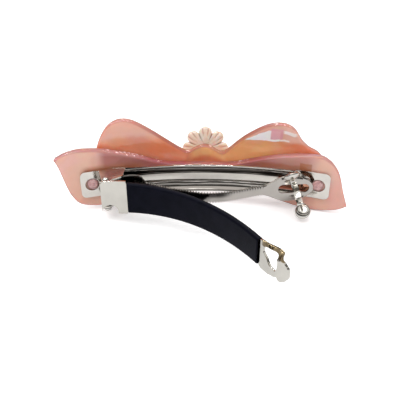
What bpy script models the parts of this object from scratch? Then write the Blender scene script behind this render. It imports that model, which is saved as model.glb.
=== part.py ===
"""Ribbon-bow barrette on an 80 mm French clip, in metres, +Z up.

X runs along the clip (hinge at -X, catch at +X), -Y is the hair side, +Y the decorative front.
The origin is the middle of the base's hair-side face. Dimensions below are in millimetres, drawn
from a point midway between the mounting holes on the plane of the tabs; MM turns them into metres
when a mesh is made, and an empty moves the whole clip so that the origin lies on the base.
"""

import math

import bmesh
import bpy
from mathutils import Matrix, Vector

MM = 0.001
SHARP_ANGLE = math.radians(40)

# ---- driving dimensions ----------------------------------------------------------------
MOUNT_HALF = 36.5          # half the distance between the mounting holes
TAB_END = 40.0             # half the clip's length
BASE_SAG = 6.0             # how far the middle of the base stands forward of the tabs
BASE_RADIUS = (MOUNT_HALF ** 2 + BASE_SAG ** 2) / (2 * BASE_SAG)
STEEL = 0.5                # sheet the base is pressed from
BASE_HALF_WIDTH = 4.85
TAB_HALF_WIDTH = 4.6
TAB_CORNER = 1.6
MOUNT_HOLE_RADIUS = 2.15
RIVET_X = 31.8             # the rivet that holds the catch
RIVET_HOLE_RADIUS = 0.95
LIP_HEIGHT = 1.2           # curled long edges of the base
LIP_END = 30.6             # the curl dies away before the tabs, sooner at the hinge
LIP_RUN_OUT_HINGE = 10.6
LIP_RUN_OUT_CATCH = 2.0
BASE_FLAT = 1.7            # half the length of the flat in the middle of the base
GAP = 0.35                 # glue line or running clearance between separate pieces

REAR_THICKNESS = 2.8       # acetate sheet with the ribbon tails
FRONT_THICKNESS = 2.6      # acetate sheet with the two loops
RIM_RADIUS = 0.85
KNOT_BULGE = 4.0           # how far the knot stands forward of the loops
KNOT_HALF_WIDTH = 7.0
STUD_RADIUS = 1.8
STUD_DEPTH = 1.7           # how deep a stud sits in the rear sheet

PIN_X, PIN_Y = -31.0, -6.0     # hinge pin
PIN_RADIUS = 0.7
PIN_HOLE = PIN_RADIUS + 0.3
EAR_NOSE = 1.25
EAR_OUTER = 4.8

ARM_Z = -0.4               # the open arm hangs a little low in its hinge
ARM_OFFSET = 2.0           # arm plate in front of the pin's axis
ARM_HEEL = 1.4
ARM_PLATE_END = 7.3
PLATE_HALF_WIDTH = 5.75    # hinge plate
HEEL_TAPER = 0.9
NOTCH = (1.2, -5.1)        # the round cut out of the plate's lower corner, in (along, up)
NOTCH_RADIUS = 2.5
LUG_RADIUS = 1.55
LUG_OUTER = 2.8
SLEEVE_END = 57.0
SLEEVE_HALF_WIDTH = 5.25   # at the hinge plate
SLEEVE_TAPER = 1.15
ARM_END = 68.6
RING_FLARE = 0.4           # the ring is a little wider than the sleeve's end
RING_TAPER = 0.5
TIP_TAPER = 1.4
CURL_START = 64.5
CURL = 0.09                # the tip's curl grows with the square of the distance past its start
ARM_STEEL = 0.7
SLEEVE_THICKNESS = 2.0
SLEEVE_WALL = 0.45
RING_OPENING = (58.6, 66.0)    # along the arm
RING_HALF_OPENING = 1.95

BAR_STEEL = 0.35
BAR_HALF_WIDTH = 1.7
BEND_X, BEND_Y = 1.0, -8.6     # middle of the bow, where the bar flexes
EYE_RADIUS = 1.32

CATCH_X = 29.0
CATCH_TILT = math.radians(-20)     # the catch leans over about Y
CATCH_ROOT_Y = 0.9


def depth(x):
    """Y of the middle of the base's steel at x: a circular arc through the mounting holes."""
    return BASE_SAG - (BASE_RADIUS - math.sqrt(BASE_RADIUS ** 2 - x * x))


def outward(x):
    """The arc's unit normal at x, away from the hair."""
    return (x / BASE_RADIUS, math.sqrt(1 - (x / BASE_RADIUS) ** 2), 0)


def blend(value, low, high):
    """0 below low, 1 above high, and a smooth step between."""
    share = min(max((value - low) / (high - low), 0.0), 1.0)
    return share * share * (3 - 2 * share)


# ---- making objects --------------------------------------------------------------------
def clear_scene():
    for obj in list(bpy.data.objects):
        bpy.data.objects.remove(obj, do_unlink=True)


def material(name, colour, roughness, metallic=0.0):
    mat = bpy.data.materials.new(name)
    mat.use_nodes = True
    shader = mat.node_tree.nodes["Principled BSDF"]
    shader.inputs["Base Color"].default_value = (*colour, 1.0)
    shader.inputs["Roughness"].default_value = roughness
    shader.inputs["Metallic"].default_value = metallic
    return mat


def finish(name, bm, mat):
    """Turns a bmesh drawn in millimetres into an object in metres, with its faces pointing out."""
    bmesh.ops.recalc_face_normals(bm, faces=bm.faces)
    if bm.calc_volume(signed=True) < 0:
        bmesh.ops.reverse_faces(bm, faces=bm.faces)
    bmesh.ops.scale(bm, vec=(MM, MM, MM), verts=bm.verts)
    mesh = bpy.data.meshes.new(name)
    bm.to_mesh(mesh)
    bm.free()
    mesh.shade_smooth()
    mesh.set_sharp_from_angle(angle=SHARP_ANGLE)
    if mat:
        mesh.materials.append(mat)
    obj = bpy.data.objects.new(name, mesh)
    bpy.context.collection.objects.link(obj)
    return obj


def boolean(obj, other, operation):
    """Cuts or joins with a second shape, which stays on the piece as a hidden guide."""
    other.parent = obj
    other.hide_render = True
    other.display_type = "WIRE"
    mod = obj.modifiers.new(operation.title(), "BOOLEAN")
    mod.operation = operation
    mod.object = other
    mod.solver = "EXACT"


def pivot(name, spot, parent=None):
    """An empty at spot, in the drawing's millimetres, that carries the pieces moving with it."""
    empty = bpy.data.objects.new(name, None)
    bpy.context.collection.objects.link(empty)
    empty["spot"] = spot
    if parent:
        empty.parent = parent
        spot = Vector(spot) - Vector(parent["spot"])
    empty.location = MM * Vector(spot)
    return empty


def carry(empty, pieces):
    """Hangs pieces on an empty without moving them."""
    for obj in pieces:
        obj.parent = empty
        obj.location = -MM * Vector(empty["spot"])


def smooth_path(points, count):
    """count points at equal steps along a smooth (Catmull-Rom) curve through the given ones."""
    pts = [Vector(p) for p in points]
    pts = [2 * pts[0] - pts[1], *pts, 2 * pts[-1] - pts[-2]]
    fine = []
    for a, b, c, d in zip(pts, pts[1:], pts[2:], pts[3:]):
        for step in range(24):
            t = step / 24
            fine.append(0.5 * (2 * b + (c - a) * t + (2 * a - 5 * b + 4 * c - d) * t * t
                               + (3 * b - a - 3 * c + d) * t ** 3))
    fine.append(pts[-2])
    lengths = [0.0]
    for a, b in zip(fine, fine[1:]):
        lengths.append(lengths[-1] + (b - a).length)
    out, i = [], 0
    for k in range(count):
        want = lengths[-1] * k / (count - 1)
        while i < len(fine) - 2 and lengths[i + 1] < want:
            i += 1
        share = (want - lengths[i]) / (lengths[i + 1] - lengths[i])
        out.append(fine[i].lerp(fine[i + 1], share))
    return out


def loft(rings, close_along=False):
    """A bmesh through closed rings of points, each ring with the same number of them."""
    bm = bmesh.new()
    loops = [[bm.verts.new(p) for p in ring] for ring in rings]
    pairs = list(zip(loops, loops[1:]))
    if close_along:
        pairs.append((loops[-1], loops[0]))
    for one, two in pairs:
        for k in range(len(one)):
            n = (k + 1) % len(one)
            bm.faces.new((one[k], one[n], two[n], two[k]))
    if not close_along:
        bm.faces.new(loops[0])
        bm.faces.new(loops[-1])
    return bm


def prism(outline, low, high, axis="Z"):
    """A bmesh with a flat outline in (x, y) raised from low to high along Z, or (x, z) along Y."""
    if axis == "Z":
        rings = [[(x, y, level) for x, y in outline] for level in (low, high)]
    else:
        rings = [[(x, level, z) for x, z in outline] for level in (low, high)]
    return loft(rings)


def turned(profile, centre, direction, segments=20):
    """A bmesh turned from (radius, height) points about a line through centre along direction."""
    turn = Vector(direction).to_track_quat("Z", "Y").to_matrix().to_4x4()
    place = Matrix.Translation(Vector(centre)) @ turn
    rings = []
    for radius, height in profile:
        angles = [2 * math.pi * k / segments for k in range(segments)]
        rings.append([place @ Vector((radius * math.cos(a), radius * math.sin(a), height)) for a in angles])
    return loft(rings)


def arc(cx, cy, radius, start, end, steps):
    """Points on a circle from start to end degrees."""
    angles = [math.radians(start + (end - start) * k / steps) for k in range(steps + 1)]
    return [(cx + radius * math.cos(a), cy + radius * math.sin(a)) for a in angles]


# ---- acetate sheets --------------------------------------------------------------------
def sheet(top, bottom, hair_side, thickness, stations, rows, rim_steps):
    """A thick sheet between two outline curves that share both end points, with rounded rims.

    top and bottom are (x, z) points, and hair_side(x, z) gives the sheet's near face.
    """
    rings = []
    tops = smooth_path(top, stations)
    bottoms = smooth_path(bottom, stations)
    nose = 0.35
    for k in range(stations):
        t, b = tops[k], bottoms[k]
        if k in (0, stations - 1):
            spot = t.copy()
            inner = (tops[1] + bottoms[1]) / 2 if k == 0 else (tops[-2] + bottoms[-2]) / 2
            side = (inner - spot).normalized() * nose
            across = Vector((-side.y, side.x))
            if across.dot(tops[1] - bottoms[1] if k == 0 else tops[-2] - bottoms[-2]) < 0:
                across = -across
            t, b = spot + side + across, spot + side - across
        run = t - b
        length = run.length
        r = min(RIM_RADIUS, length * 0.45)
        loop = []
        for i in range(rows + 1):
            loop.append((r + (length - 2 * r) * i / rows, 0.0))
        for i in range(1, rim_steps):
            a = math.pi / 2 * i / rim_steps
            loop.append((length - r + r * math.sin(a), RIM_RADIUS * (1 - math.cos(a))))
        loop.append((length, RIM_RADIUS))
        loop.append((length, thickness - RIM_RADIUS))
        for i in range(1, rim_steps):
            a = math.pi / 2 * i / rim_steps
            loop.append((length - r + r * math.cos(a), thickness - RIM_RADIUS * (1 - math.sin(a))))
        for i in range(rows, -1, -1):
            loop.append((r + (length - 2 * r) * i / rows, thickness))
        for i in range(1, rim_steps):
            a = math.pi / 2 * i / rim_steps
            loop.append((r - r * math.sin(a), thickness - RIM_RADIUS * (1 - math.cos(a))))
        loop.append((0.0, thickness - RIM_RADIUS))
        loop.append((0.0, RIM_RADIUS))
        for i in range(1, rim_steps):
            a = math.pi / 2 * i / rim_steps
            loop.append((r - r * math.cos(a), RIM_RADIUS * (1 - math.sin(a))))
        ring = []
        for along, through in loop:
            p = b + run * (along / length)
            ring.append((p.x, hair_side(p.x, p.y) + through, p.y))
        rings.append(ring)
    return loft(rings)


REAR_TOP = ((-47.4, 10.0), (-44.9, 11.1), (-41.8, 11.8), (-38.5, 11.8), (-33.0, 10.9), (-23.0, 8.0),
            (-14.5, 5.1), (-7.0, 4.3), (8.0, 4.3), (15.0, 5.9), (23.3, 8.0), (31.0, 9.3), (36.8, 9.7),
            (39.9, 8.4), (42.1, 5.9), (43.3, 3.0), (44.4, -1.1), (46.2, -6.1))
REAR_BOTTOM = ((-47.4, 10.0), (-46.2, 7.0), (-45.1, 2.2), (-44.2, -1.0), (-42.9, -4.0), (-40.8, -6.8),
               (-37.8, -8.4), (-33.8, -8.8), (-26.0, -7.6), (-14.0, -4.9), (0.0, -4.2), (14.0, -5.2),
               (26.0, -8.4), (34.5, -9.9), (40.6, -9.1), (44.2, -7.7), (46.2, -6.1))
FRONT_TOP = ((-36.4, 2.0), (-35.9, 7.6), (-34.4, 12.8), (-32.2, 16.7), (-29.6, 18.7), (-26.6, 19.2),
             (-22.8, 18.0), (-17.2, 14.4), (-12.3, 10.9), (-8.7, 8.4), (-5.8, 7.0), (-3.0, 7.2),
             (0.0, 7.5), (3.2, 6.7), (5.6, 6.5), (8.3, 8.6), (13.3, 13.3), (18.0, 16.9), (21.1, 18.5),
             (24.2, 19.1), (27.0, 18.4), (29.0, 16.7), (31.2, 13.3), (33.6, 11.0), (36.6, 9.5),
             (38.8, 6.6), (39.4, 2.0))
FRONT_BOTTOM = ((-36.4, 2.0), (-35.0, -3.4), (-29.0, -7.0), (-18.0, -6.4), (-8.0, -4.2), (0.0, -3.8),
                (8.0, -4.3), (18.0, -6.6), (30.0, -7.6), (37.6, -3.6), (39.4, 2.0))
LEFT_LEAN = math.tan(math.radians(5))      # the left loop leans away from the hair
RIGHT_LEAN = math.tan(math.radians(20))    # the right loop leans towards it
LEAN_START = 9.9                           # height above which the loops lean


def rear_face(x, z):
    return depth(x) + STEEL / 2 + GAP


def front_face(x, z):
    """The loops lie on the rear sheet, bulge forward at the knot and lean above it."""
    lift = max(z - LEAN_START, 0.0)
    lift = lift * lift / (lift + 3.0)
    lean = lift * (LEFT_LEAN * blend(-x, 4, 16) - RIGHT_LEAN * blend(x, 4, 16))
    knot = KNOT_BULGE * (1 - blend(abs(x), 0.8, KNOT_HALF_WIDTH))
    return rear_face(x, z) + REAR_THICKNESS + GAP + lean + knot


def rear_ribbon(mat):
    bm = sheet(REAR_TOP, REAR_BOTTOM, rear_face, REAR_THICKNESS, stations=45, rows=3, rim_steps=2)
    ribbon = finish("rear_ribbon", bm, mat)
    for side in (-1, 1):
        x = side * MOUNT_HALF
        face = rear_face(x, 0)
        profile = ((STUD_RADIUS + 0.3, -3.0), (STUD_RADIUS + 0.3, STUD_DEPTH + 0.3))
        cutter = finish("stud_socket", turned(profile, (x, face, 0), (0, 1, 0)), None)
        boolean(ribbon, cutter, "DIFFERENCE")
    return ribbon


def front_loops(mat):
    bm = sheet(FRONT_TOP, FRONT_BOTTOM, front_face, FRONT_THICKNESS, stations=56, rows=4, rim_steps=2)
    return finish("front_loops", bm, mat)


FLOWER_Z = 5.0
FLOWER_PETALS = 8
PETAL_REACH = 8.0
PETAL_RADIUS = 2.05
VALLEY_SHARE = 0.52        # how far out the valleys between the petals lie
FLOWER_THICKNESS = 2.6


def flower(mat):
    """A moulded flower: round-ended petals about a middle, on the front of the knot."""
    back = front_face(0, FLOWER_Z) + FRONT_THICKNESS + GAP
    outline = []
    valley = VALLEY_SHARE * PETAL_REACH
    half_step = math.pi / FLOWER_PETALS
    for k in range(FLOWER_PETALS):
        middle = math.pi / 2 + 2 * half_step * k
        centre = Vector((math.cos(middle), math.sin(middle))) * (PETAL_REACH - PETAL_RADIUS)
        for turn in range(-100, 101, 40):
            a = middle + math.radians(turn)
            outline.append(centre + PETAL_RADIUS * Vector((math.cos(a), math.sin(a))))
        a = middle + half_step
        outline.append(valley * Vector((math.cos(a), math.sin(a))))
    rings = []
    front = FLOWER_THICKNESS - 0.2
    for share, level in ((0.96, 0.0), (1.0, 0.35), (1.0, front - 0.6), (0.93, front)):
        rings.append([(p.x * share, back + level, FLOWER_Z + p.y * share) for p in outline])
    return finish("flower", loft(rings), mat)


def stud(side, mat):
    """An acetate stud melted over in a mounting hole, with its foot in the rear sheet."""
    x = side * MOUNT_HALF
    foot = rear_face(x, 0) + STUD_DEPTH
    reach = foot + STEEL / 2 + 0.25
    profile = ((STUD_RADIUS, 0.0), (STUD_RADIUS, reach - 0.2), (1.35, reach + 0.12), (0.6, reach + 0.25))
    name = "stud_left" if side < 0 else "stud_right"
    return finish(name, turned(profile, (x, foot, 0), (0, -1, 0)), mat)


# ---- base plate ------------------------------------------------------------------------
def base_ring(x):
    """The base's section at x: a shallow trough with curled edges, flat over the tabs."""
    run_out = LIP_RUN_OUT_HINGE if x < 0 else LIP_RUN_OUT_CATCH
    lip = LIP_HEIGHT * blend(LIP_END - abs(x), 0.0, run_out)
    half = TAB_HALF_WIDTH + (BASE_HALF_WIDTH - TAB_HALF_WIDTH) * blend(31.5 - abs(x), 0.0, 2.0)
    over = abs(x) - (TAB_END - TAB_CORNER)
    if over > 0:
        half = half - TAB_CORNER + math.sqrt(max(TAB_CORNER ** 2 - over ** 2, 0.04))
    shape = []
    for share in (-1.0, -0.93, -0.8, -0.66, -0.42, 0.3, 0.66, 0.8, 0.93, 1.0):
        rise = lip * blend(abs(share), 0.62, 0.96)
        shape.append((half * share, rise))
    middle = depth(x)
    near = [(x, middle - STEEL / 2 - rise, z) for z, rise in shape]
    far = [(x, middle + STEEL / 2 - rise, z) for z, rise in reversed(shape)]
    return near + far


def rivet_bore():
    """A cutter through the base and the catch's foot, square to the base."""
    profile = ((RIVET_HOLE_RADIUS, -4.0), (RIVET_HOLE_RADIUS, 4.0))
    return turned(profile, (RIVET_X, depth(RIVET_X), 0), outward(RIVET_X))


def base_plate(mat):
    ends = [TAB_END - TAB_CORNER * (1 - math.cos(math.radians(a))) for a in (0, 30, 60, 90)]
    inner = [BASE_FLAT] + [k * 3.4 for k in range(1, 9)] + [28.7, 29.5, 30.7, 32.2, 35.0]
    right = inner + ends[::-1]
    xs = sorted({-x for x in right} | set(right))
    plate = finish("base_plate", loft([base_ring(x) for x in xs]), mat)
    for side in (-1, 1):
        x = side * MOUNT_HALF
        hole = turned(((MOUNT_HOLE_RADIUS, -3.0), (MOUNT_HOLE_RADIUS, 3.0)), (x, depth(x), 0), (0, 1, 0))
        boolean(plate, finish("mount_hole", hole, None), "DIFFERENCE")
    boolean(plate, finish("rivet_hole", rivet_bore(), None), "DIFFERENCE")
    heel, toe = PIN_X - 3.3, PIN_X + 5.2
    outline = [(heel, depth(heel) + 0.03), (heel + 0.4, depth(heel) - 1.6),
               *arc(PIN_X, PIN_Y, EAR_NOSE, 180, 330, 7),
               (toe - 0.5, -3.6), (toe - 0.1, -2.9), (toe, depth(toe) + 0.03)]
    for side in (-1, 1):
        low, high = sorted((side * EAR_OUTER, side * (EAR_OUTER - STEEL)))
        boolean(plate, finish("ear", prism(outline, low, high), None), "UNION")
    pin_hole = turned(((PIN_HOLE, -8.0), (PIN_HOLE, 8.0)), (PIN_X, PIN_Y, 0), (0, 0, 1))
    boolean(plate, finish("pin_hole", pin_hole, None), "DIFFERENCE")
    return plate


def hinge_pin(mat):
    """A plain pin with both ends peened over the ears."""
    half = EAR_OUTER + 0.85
    head = 1.15
    profile = ((0.7, -half), (head, -half + 0.25), (head, -EAR_OUTER - 0.2), (PIN_RADIUS, -EAR_OUTER - 0.2),
               (PIN_RADIUS, EAR_OUTER + 0.2), (head, EAR_OUTER + 0.2), (head, half - 0.25), (0.7, half))
    return finish("hinge_pin", turned(profile, (PIN_X, PIN_Y, 0), (0, 0, 1), segments=16), mat)


# ---- arm -------------------------------------------------------------------------------
def arm_direction(s):
    """The open arm's heading s millimetres along from the pin, below +X, in radians."""
    return math.radians(-5.5 + 1.6 * s - 0.0078 * s * s)


def arm_point(s):
    """The arm's centre line in (x, y), and its direction, s millimetres along from the pin."""
    steps = max(8, int(abs(s) * 2))
    x, y = PIN_X, PIN_Y - ARM_OFFSET
    for k in range(steps):
        angle = arm_direction(s * (k + 0.5) / steps)
        x += math.cos(angle) * s / steps
        y -= math.sin(angle) * s / steps
    return Vector((x, y)), arm_direction(s)


def arm_spot(s, off, z):
    """A point s along the arm, off towards the base from its centre line and z up."""
    p, angle = arm_point(s)
    return (p.x + off * math.sin(angle), p.y + off * math.cos(angle), ARM_Z + z)


def sleeve_half_width(s):
    return SLEEVE_HALF_WIDTH - SLEEVE_TAPER * (s - ARM_PLATE_END) / (SLEEVE_END - ARM_PLATE_END)


def core_half_width(s):
    """Half the steel's width: hinge plate, strap inside the sleeve, ring and rounded finger tip."""
    if s < 7.5:
        return PLATE_HALF_WIDTH - HEEL_TAPER * blend(-s, 0.4, ARM_HEEL)
    if s < 56.9:
        return sleeve_half_width(s) - SLEEVE_WALL - GAP
    width = sleeve_half_width(SLEEVE_END) + RING_FLARE * blend(s, 56.9, 60.0)
    return width - RING_TAPER * blend(s, 60.0, 65.0) - TIP_TAPER * blend(s, 67.0, ARM_END)


def tip_curl(s):
    """How far the finger tip curls back towards the base."""
    return CURL * max(s - CURL_START, 0.0) ** 2


def arm_ring(s, half, thick):
    """A flat section across the arm."""
    across = (-half, -half / 2, 0.0, half / 2, half)
    near = [arm_spot(s, tip_curl(s) - thick / 2, z) for z in across]
    far = [arm_spot(s, tip_curl(s) + thick / 2, z) for z in reversed(across)]
    return near + far


def arm_outline(points, deep=3.0):
    """A cutter through the arm with its outline in (s, z)."""
    rings = []
    for off in (-deep, deep):
        rings.append([arm_spot(s, off, z) for s, z in points])
    return loft(rings)


def rounded(s0, s1, z0, z1, radius, steps=3):
    corners = ((s1 - radius, z1 - radius, 0), (s0 + radius, z1 - radius, 90),
               (s0 + radius, z0 + radius, 180), (s1 - radius, z0 + radius, 270))
    points = []
    for s, z, start in corners:
        points += arc(s, z, radius, start, start + 90, steps)
    return points


def arm_core(mat):
    stations = [-ARM_HEEL, -1.0, -0.4, 0.6, 2.5, 5.0, 7.3, 7.6]
    stations += [7.6 + k * 4.9 for k in range(1, 10)] + [56.8, 57.2]
    stations += [58.2, 59.8, 61.4, 63.0, 64.6, 66.4, 67.4, 68.1, ARM_END]
    rings = []
    for s in stations:
        hidden = 7.5 < s < 56.9
        rings.append(arm_ring(s, core_half_width(s), ARM_STEEL - 0.1 if hidden else ARM_STEEL))
    core = finish("arm_core", loft(rings), mat)
    opening = rounded(*RING_OPENING, -RING_HALF_OPENING - ARM_Z, RING_HALF_OPENING - ARM_Z, 1.7)
    boolean(core, finish("ring_opening", arm_outline(opening), None), "DIFFERENCE")
    notch = arc(*NOTCH, NOTCH_RADIUS, 0, 360, 15)[:-1]
    boolean(core, finish("pin_notch", arm_outline(notch), None), "DIFFERENCE")
    foot = PIN_Y - ARM_OFFSET
    lug = [(-32.2, foot), *arc(PIN_X, PIN_Y, LUG_RADIUS, 150, 30, 8), (-28.6, foot)]
    for side in (-1, 1):
        low, high = sorted((side * LUG_OUTER, side * (LUG_OUTER - STEEL)))
        boolean(core, finish("lug", prism(lug, low, high), None), "UNION")
    bore = turned(((PIN_HOLE, -5.0), (PIN_HOLE, 5.0)), (PIN_X, PIN_Y, 0), (0, 0, 1))
    boolean(core, finish("arm_bore", bore, None), "DIFFERENCE")
    return core


def sleeve_loop(s, half, thick):
    """A rounded section of the sleeve, or of the strap-shaped hollow inside it."""
    r = thick * 0.45
    points = rounded(-half, half, -thick / 2, thick / 2, r, steps=2)
    return [arm_spot(s, off, z) for z, off in points]


def arm_sleeve(mat):
    count = 15
    start, end = ARM_PLATE_END + 0.35, SLEEVE_END - 0.3
    stations = [start + (end - start) * k / (count - 1) for k in range(count)]
    outer = [sleeve_loop(s, sleeve_half_width(s), SLEEVE_THICKNESS) for s in stations]
    hollow = SLEEVE_THICKNESS - 2 * SLEEVE_WALL
    inner = [sleeve_loop(s, sleeve_half_width(s) - SLEEVE_WALL, hollow) for s in reversed(stations)]
    return finish("arm_sleeve", loft(outer + inner, close_along=True), mat)


# ---- tension bar -----------------------------------------------------------------------
BAR_HINGE_PATH = ((-28.9, -5.1), (-28.1, -3.9), (-27.0, -2.5), (-25.4, -1.5), (-23.2, -1.1), (-20.8, -1.4),
                  (-17.4, -2.6), (-12.0, -4.9), (-8.0, -6.3), (-2.5, -8.05), (0.8, -8.58))
BAR_CATCH_PATH = ((1.2, -8.62), (6.0, -8.0), (11.0, -6.4), (16.0, -4.4), (20.0, -3.2), (27.0, -2.1),
                  (34.6, -1.4))
BAR_ROOT_HALF_WIDTH = 4.0      # where the strip lies near the base, next to the hinge
BAR_LEAF_HALF_WIDTH = 4.6
BAR_SLOT = (23.4, 33.4)
BAR_SLOT_HALF = 1.5
TOOTH = 0.09


def bar_half_width(x):
    """Half the bar's width: a wide root, the narrow strip, then the leaf with its rounded tip."""
    root = (BAR_ROOT_HALF_WIDTH - BAR_HALF_WIDTH) * blend(-x, 18.2, 21.2) * (1 - blend(-x, 26.6, 28.4))
    leaf = (BAR_LEAF_HALF_WIDTH - BAR_HALF_WIDTH) * blend(x, 17.6, 26.0)
    if x < 27.0:
        return BAR_HALF_WIDTH + root + leaf
    share = min((x - 27.0) / 7.6, 1.0)
    return max(BAR_LEAF_HALF_WIDTH * math.sqrt(1 - (0.93 * share) ** 2), 0.6)


def bar_rings(path, count, teeth):
    """Rings along the bar; teeth knurl its edges, every other ring a little wider."""
    points = smooth_path(path, count)
    rings = []
    for k, p in enumerate(points):
        before = points[max(k - 1, 0)]
        after = points[min(k + 1, count - 1)]
        along = (after - before).normalized()
        normal = Vector((-along.y, along.x))
        half = bar_half_width(p.x)
        if teeth(p.x):
            half += TOOTH if k % 2 else -TOOTH
        corners = ((-1, -half), (-1, half), (1, half), (1, -half))
        ring = []
        for side, z in corners:
            q = p + normal * (side * BAR_STEEL / 2)
            ring.append((q.x, q.y, z))
        rings.append(ring)
    return rings


def bar_hinge_half(mat):
    """The strip from the hinge: an eye rolled around the pin, then the knurled strip."""
    strip = bar_rings(BAR_HINGE_PATH, 64, lambda x: x > -17.8)
    bar = finish("tension_bar_hinge_half", loft(strip), mat)
    eye_outer = arc(PIN_X, PIN_Y, EYE_RADIUS, 0, 360, 16)[:-1]
    eye = finish("eye", prism(eye_outer, -BAR_HALF_WIDTH, BAR_HALF_WIDTH), None)
    link = [(-30.6, -4.72), (-30.4, -5.1), (-29.2, -5.3), (-28.65, -4.95), (-28.85, -4.7), (-29.3, -4.75)]
    boolean(bar, eye, "UNION")
    link_half = BAR_HALF_WIDTH - 0.05
    boolean(bar, finish("eye_link", prism(link, -link_half, link_half), None), "UNION")
    bore = turned(((PIN_HOLE, -4.0), (PIN_HOLE, 4.0)), (PIN_X, PIN_Y, 0), (0, 0, 1), segments=16)
    boolean(bar, finish("eye_bore", bore, None), "DIFFERENCE")
    return bar


def bar_catch_half(mat):
    """The strip's other half, with the slotted leaf that slides on the catch."""
    strip = bar_rings(BAR_CATCH_PATH, 70, lambda x: x < 18.0)
    bar = finish("tension_bar_catch_half", loft(strip), mat)
    slot = prism(rounded(*BAR_SLOT, -BAR_SLOT_HALF, BAR_SLOT_HALF, 1.45, steps=4), -8.0, 2.0, axis="Y")
    boolean(bar, finish("bar_slot", slot, None), "DIFFERENCE")
    return bar


# ---- catch -----------------------------------------------------------------------------
TAB_RADIUS = 2.5           # round pinch tabs
SEAT_STEEL = 0.5
JAW_HALF_WIDTH = 1.0
JAW_INNER = ((CATCH_ROOT_Y, 0.45), (-3.4, 0.45), (-7.4, 0.85), (-8.0, 1.75), (-8.5, 1.75), (-9.9, 1.0))
JAW_OUTER = ((-10.0, 1.5), (-8.3, 2.45), (-7.85, 2.35), (-7.3, 1.35), (-3.4, 0.95), (CATCH_ROOT_Y, 0.95))
NECK_PATH = ((-2.95, 0.75), (-3.45, 4.7), (-4.3, 5.7))    # out from the prong, in (y, z)
NECK_HALF_THICKNESS = 0.24
NECK_HALF_WIDTH = 0.92


def placed(bm):
    """From the catch's own upright frame to its leaning place on the base."""
    c, s = math.cos(CATCH_TILT), math.sin(CATCH_TILT)
    for v in bm.verts:
        x, y, z = v.co
        v.co = (CATCH_X + c * x + s * z, y, c * z - s * x)
    return bm


def catch_seat(mat):
    """The catch's foot: a small plate riveted to the base."""
    x0, x1 = CATCH_X - 2.6, RIVET_X + 1.9
    rings = []
    for x in (x0, x0 + 0.5, CATCH_X, (CATCH_X + RIVET_X) / 2, RIVET_X, x1 - 0.6, x1):
        half = 1.9 - 0.6 * blend(abs(x - (x0 + x1) / 2), 2.9, 3.9)
        far = depth(x) - STEEL / 2 - GAP
        near = far - SEAT_STEEL
        rings.append([(x, near, -half), (x, near, half), (x, far, half), (x, far, -half)])
    seat = finish("catch_seat", loft(rings), mat)
    boolean(seat, finish("seat_hole", rivet_bore(), None), "DIFFERENCE")
    return seat


def catch_rivet(mat):
    """The rivet that holds the catch's foot to the base."""
    near = -(STEEL / 2 + GAP + SEAT_STEEL + 0.2)
    profile = ((0.5, near - 0.3), (1.3, near - 0.12), (1.3, near), (0.65, near), (0.65, STEEL / 2 - 0.05))
    place = (RIVET_X, depth(RIVET_X), 0)
    return finish("catch_rivet", turned(profile, place, outward(RIVET_X), segments=16), mat)


def catch_jaw(side, mat):
    """One jaw: a prong with a barb at its tip, and a neck out to a round, dished pinch tab."""
    name = "catch_jaw_upper" if side > 0 else "catch_jaw_lower"
    section = [(y, side * z) for y, z in JAW_INNER + JAW_OUTER]
    rings = [[(x, y, z) for y, z in section] for x in (-JAW_HALF_WIDTH, JAW_HALF_WIDTH)]
    jaw = finish(name, placed(loft(rings)), mat)
    path = [Vector((y, side * z)) for y, z in NECK_PATH]
    neck = []
    for shift in (-NECK_HALF_THICKNESS, NECK_HALF_THICKNESS):
        line = []
        for k, p in enumerate(path):
            run = (path[min(k + 1, len(path) - 1)] - path[max(k - 1, 0)]).normalized()
            line.append(p + Vector((-run.y, run.x)) * shift)
        neck += line if shift < 0 else line[::-1]
    neck_rings = [[(x, p.x, p.y) for p in neck] for x in (-NECK_HALF_WIDTH, NECK_HALF_WIDTH)]
    boolean(jaw, finish("neck", placed(loft(neck_rings)), None), "UNION")
    profile = ((1.7, -0.35), (TAB_RADIUS, -0.1), (TAB_RADIUS, 0.3), (1.9, 0.3), (1.2, 0.05))
    run = (path[2] - path[1]).normalized()
    centre = path[2] + run * 1.7
    facing = Vector((0, -side * run.y, side * run.x))
    tab = turned(profile, (0, centre.x, centre.y), facing, segments=16)
    boolean(jaw, finish("tab", placed(tab), None), "UNION")
    return jaw


def main():
    clear_scene()
    acetate = material("pink_acetate", (0.78, 0.47, 0.40), 0.22)
    resin = material("peach_resin", (0.88, 0.60, 0.48), 0.15)
    melted = material("melted_acetate", (0.56, 0.32, 0.30), 0.45)
    nickel = material("nickel_plate", (0.78, 0.76, 0.72), 0.18, 1.0)
    black = material("black_sleeve", (0.012, 0.013, 0.022), 0.42)
    clip = pivot("clip_frame", (0, 0, 0))
    clip.location.y = MM * (STEEL / 2 - depth(BASE_FLAT))
    carry(clip, (rear_ribbon(acetate), front_loops(acetate), flower(resin)))
    carry(clip, (stud(-1, melted), stud(1, melted)))
    carry(clip, (base_plate(nickel), hinge_pin(nickel), catch_seat(nickel), catch_rivet(nickel)))
    arm_pivot = pivot("arm_pivot", (PIN_X, PIN_Y, 0), clip)
    carry(arm_pivot, (arm_core(nickel), arm_sleeve(black)))
    lift_pivot = pivot("bar_lift_pivot", (PIN_X, PIN_Y, 0), clip)
    carry(lift_pivot, (bar_hinge_half(nickel),))
    bend_pivot = pivot("bar_bend_pivot", (BEND_X, BEND_Y, 0), lift_pivot)
    carry(bend_pivot, (bar_catch_half(nickel),))
    catch_root = (CATCH_X, CATCH_ROOT_Y, 0)
    for side, label in ((1, "upper"), (-1, "lower")):
        carry(pivot(f"pinch_{label}_pivot", catch_root, clip), (catch_jaw(side, nickel),))


main()
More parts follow.
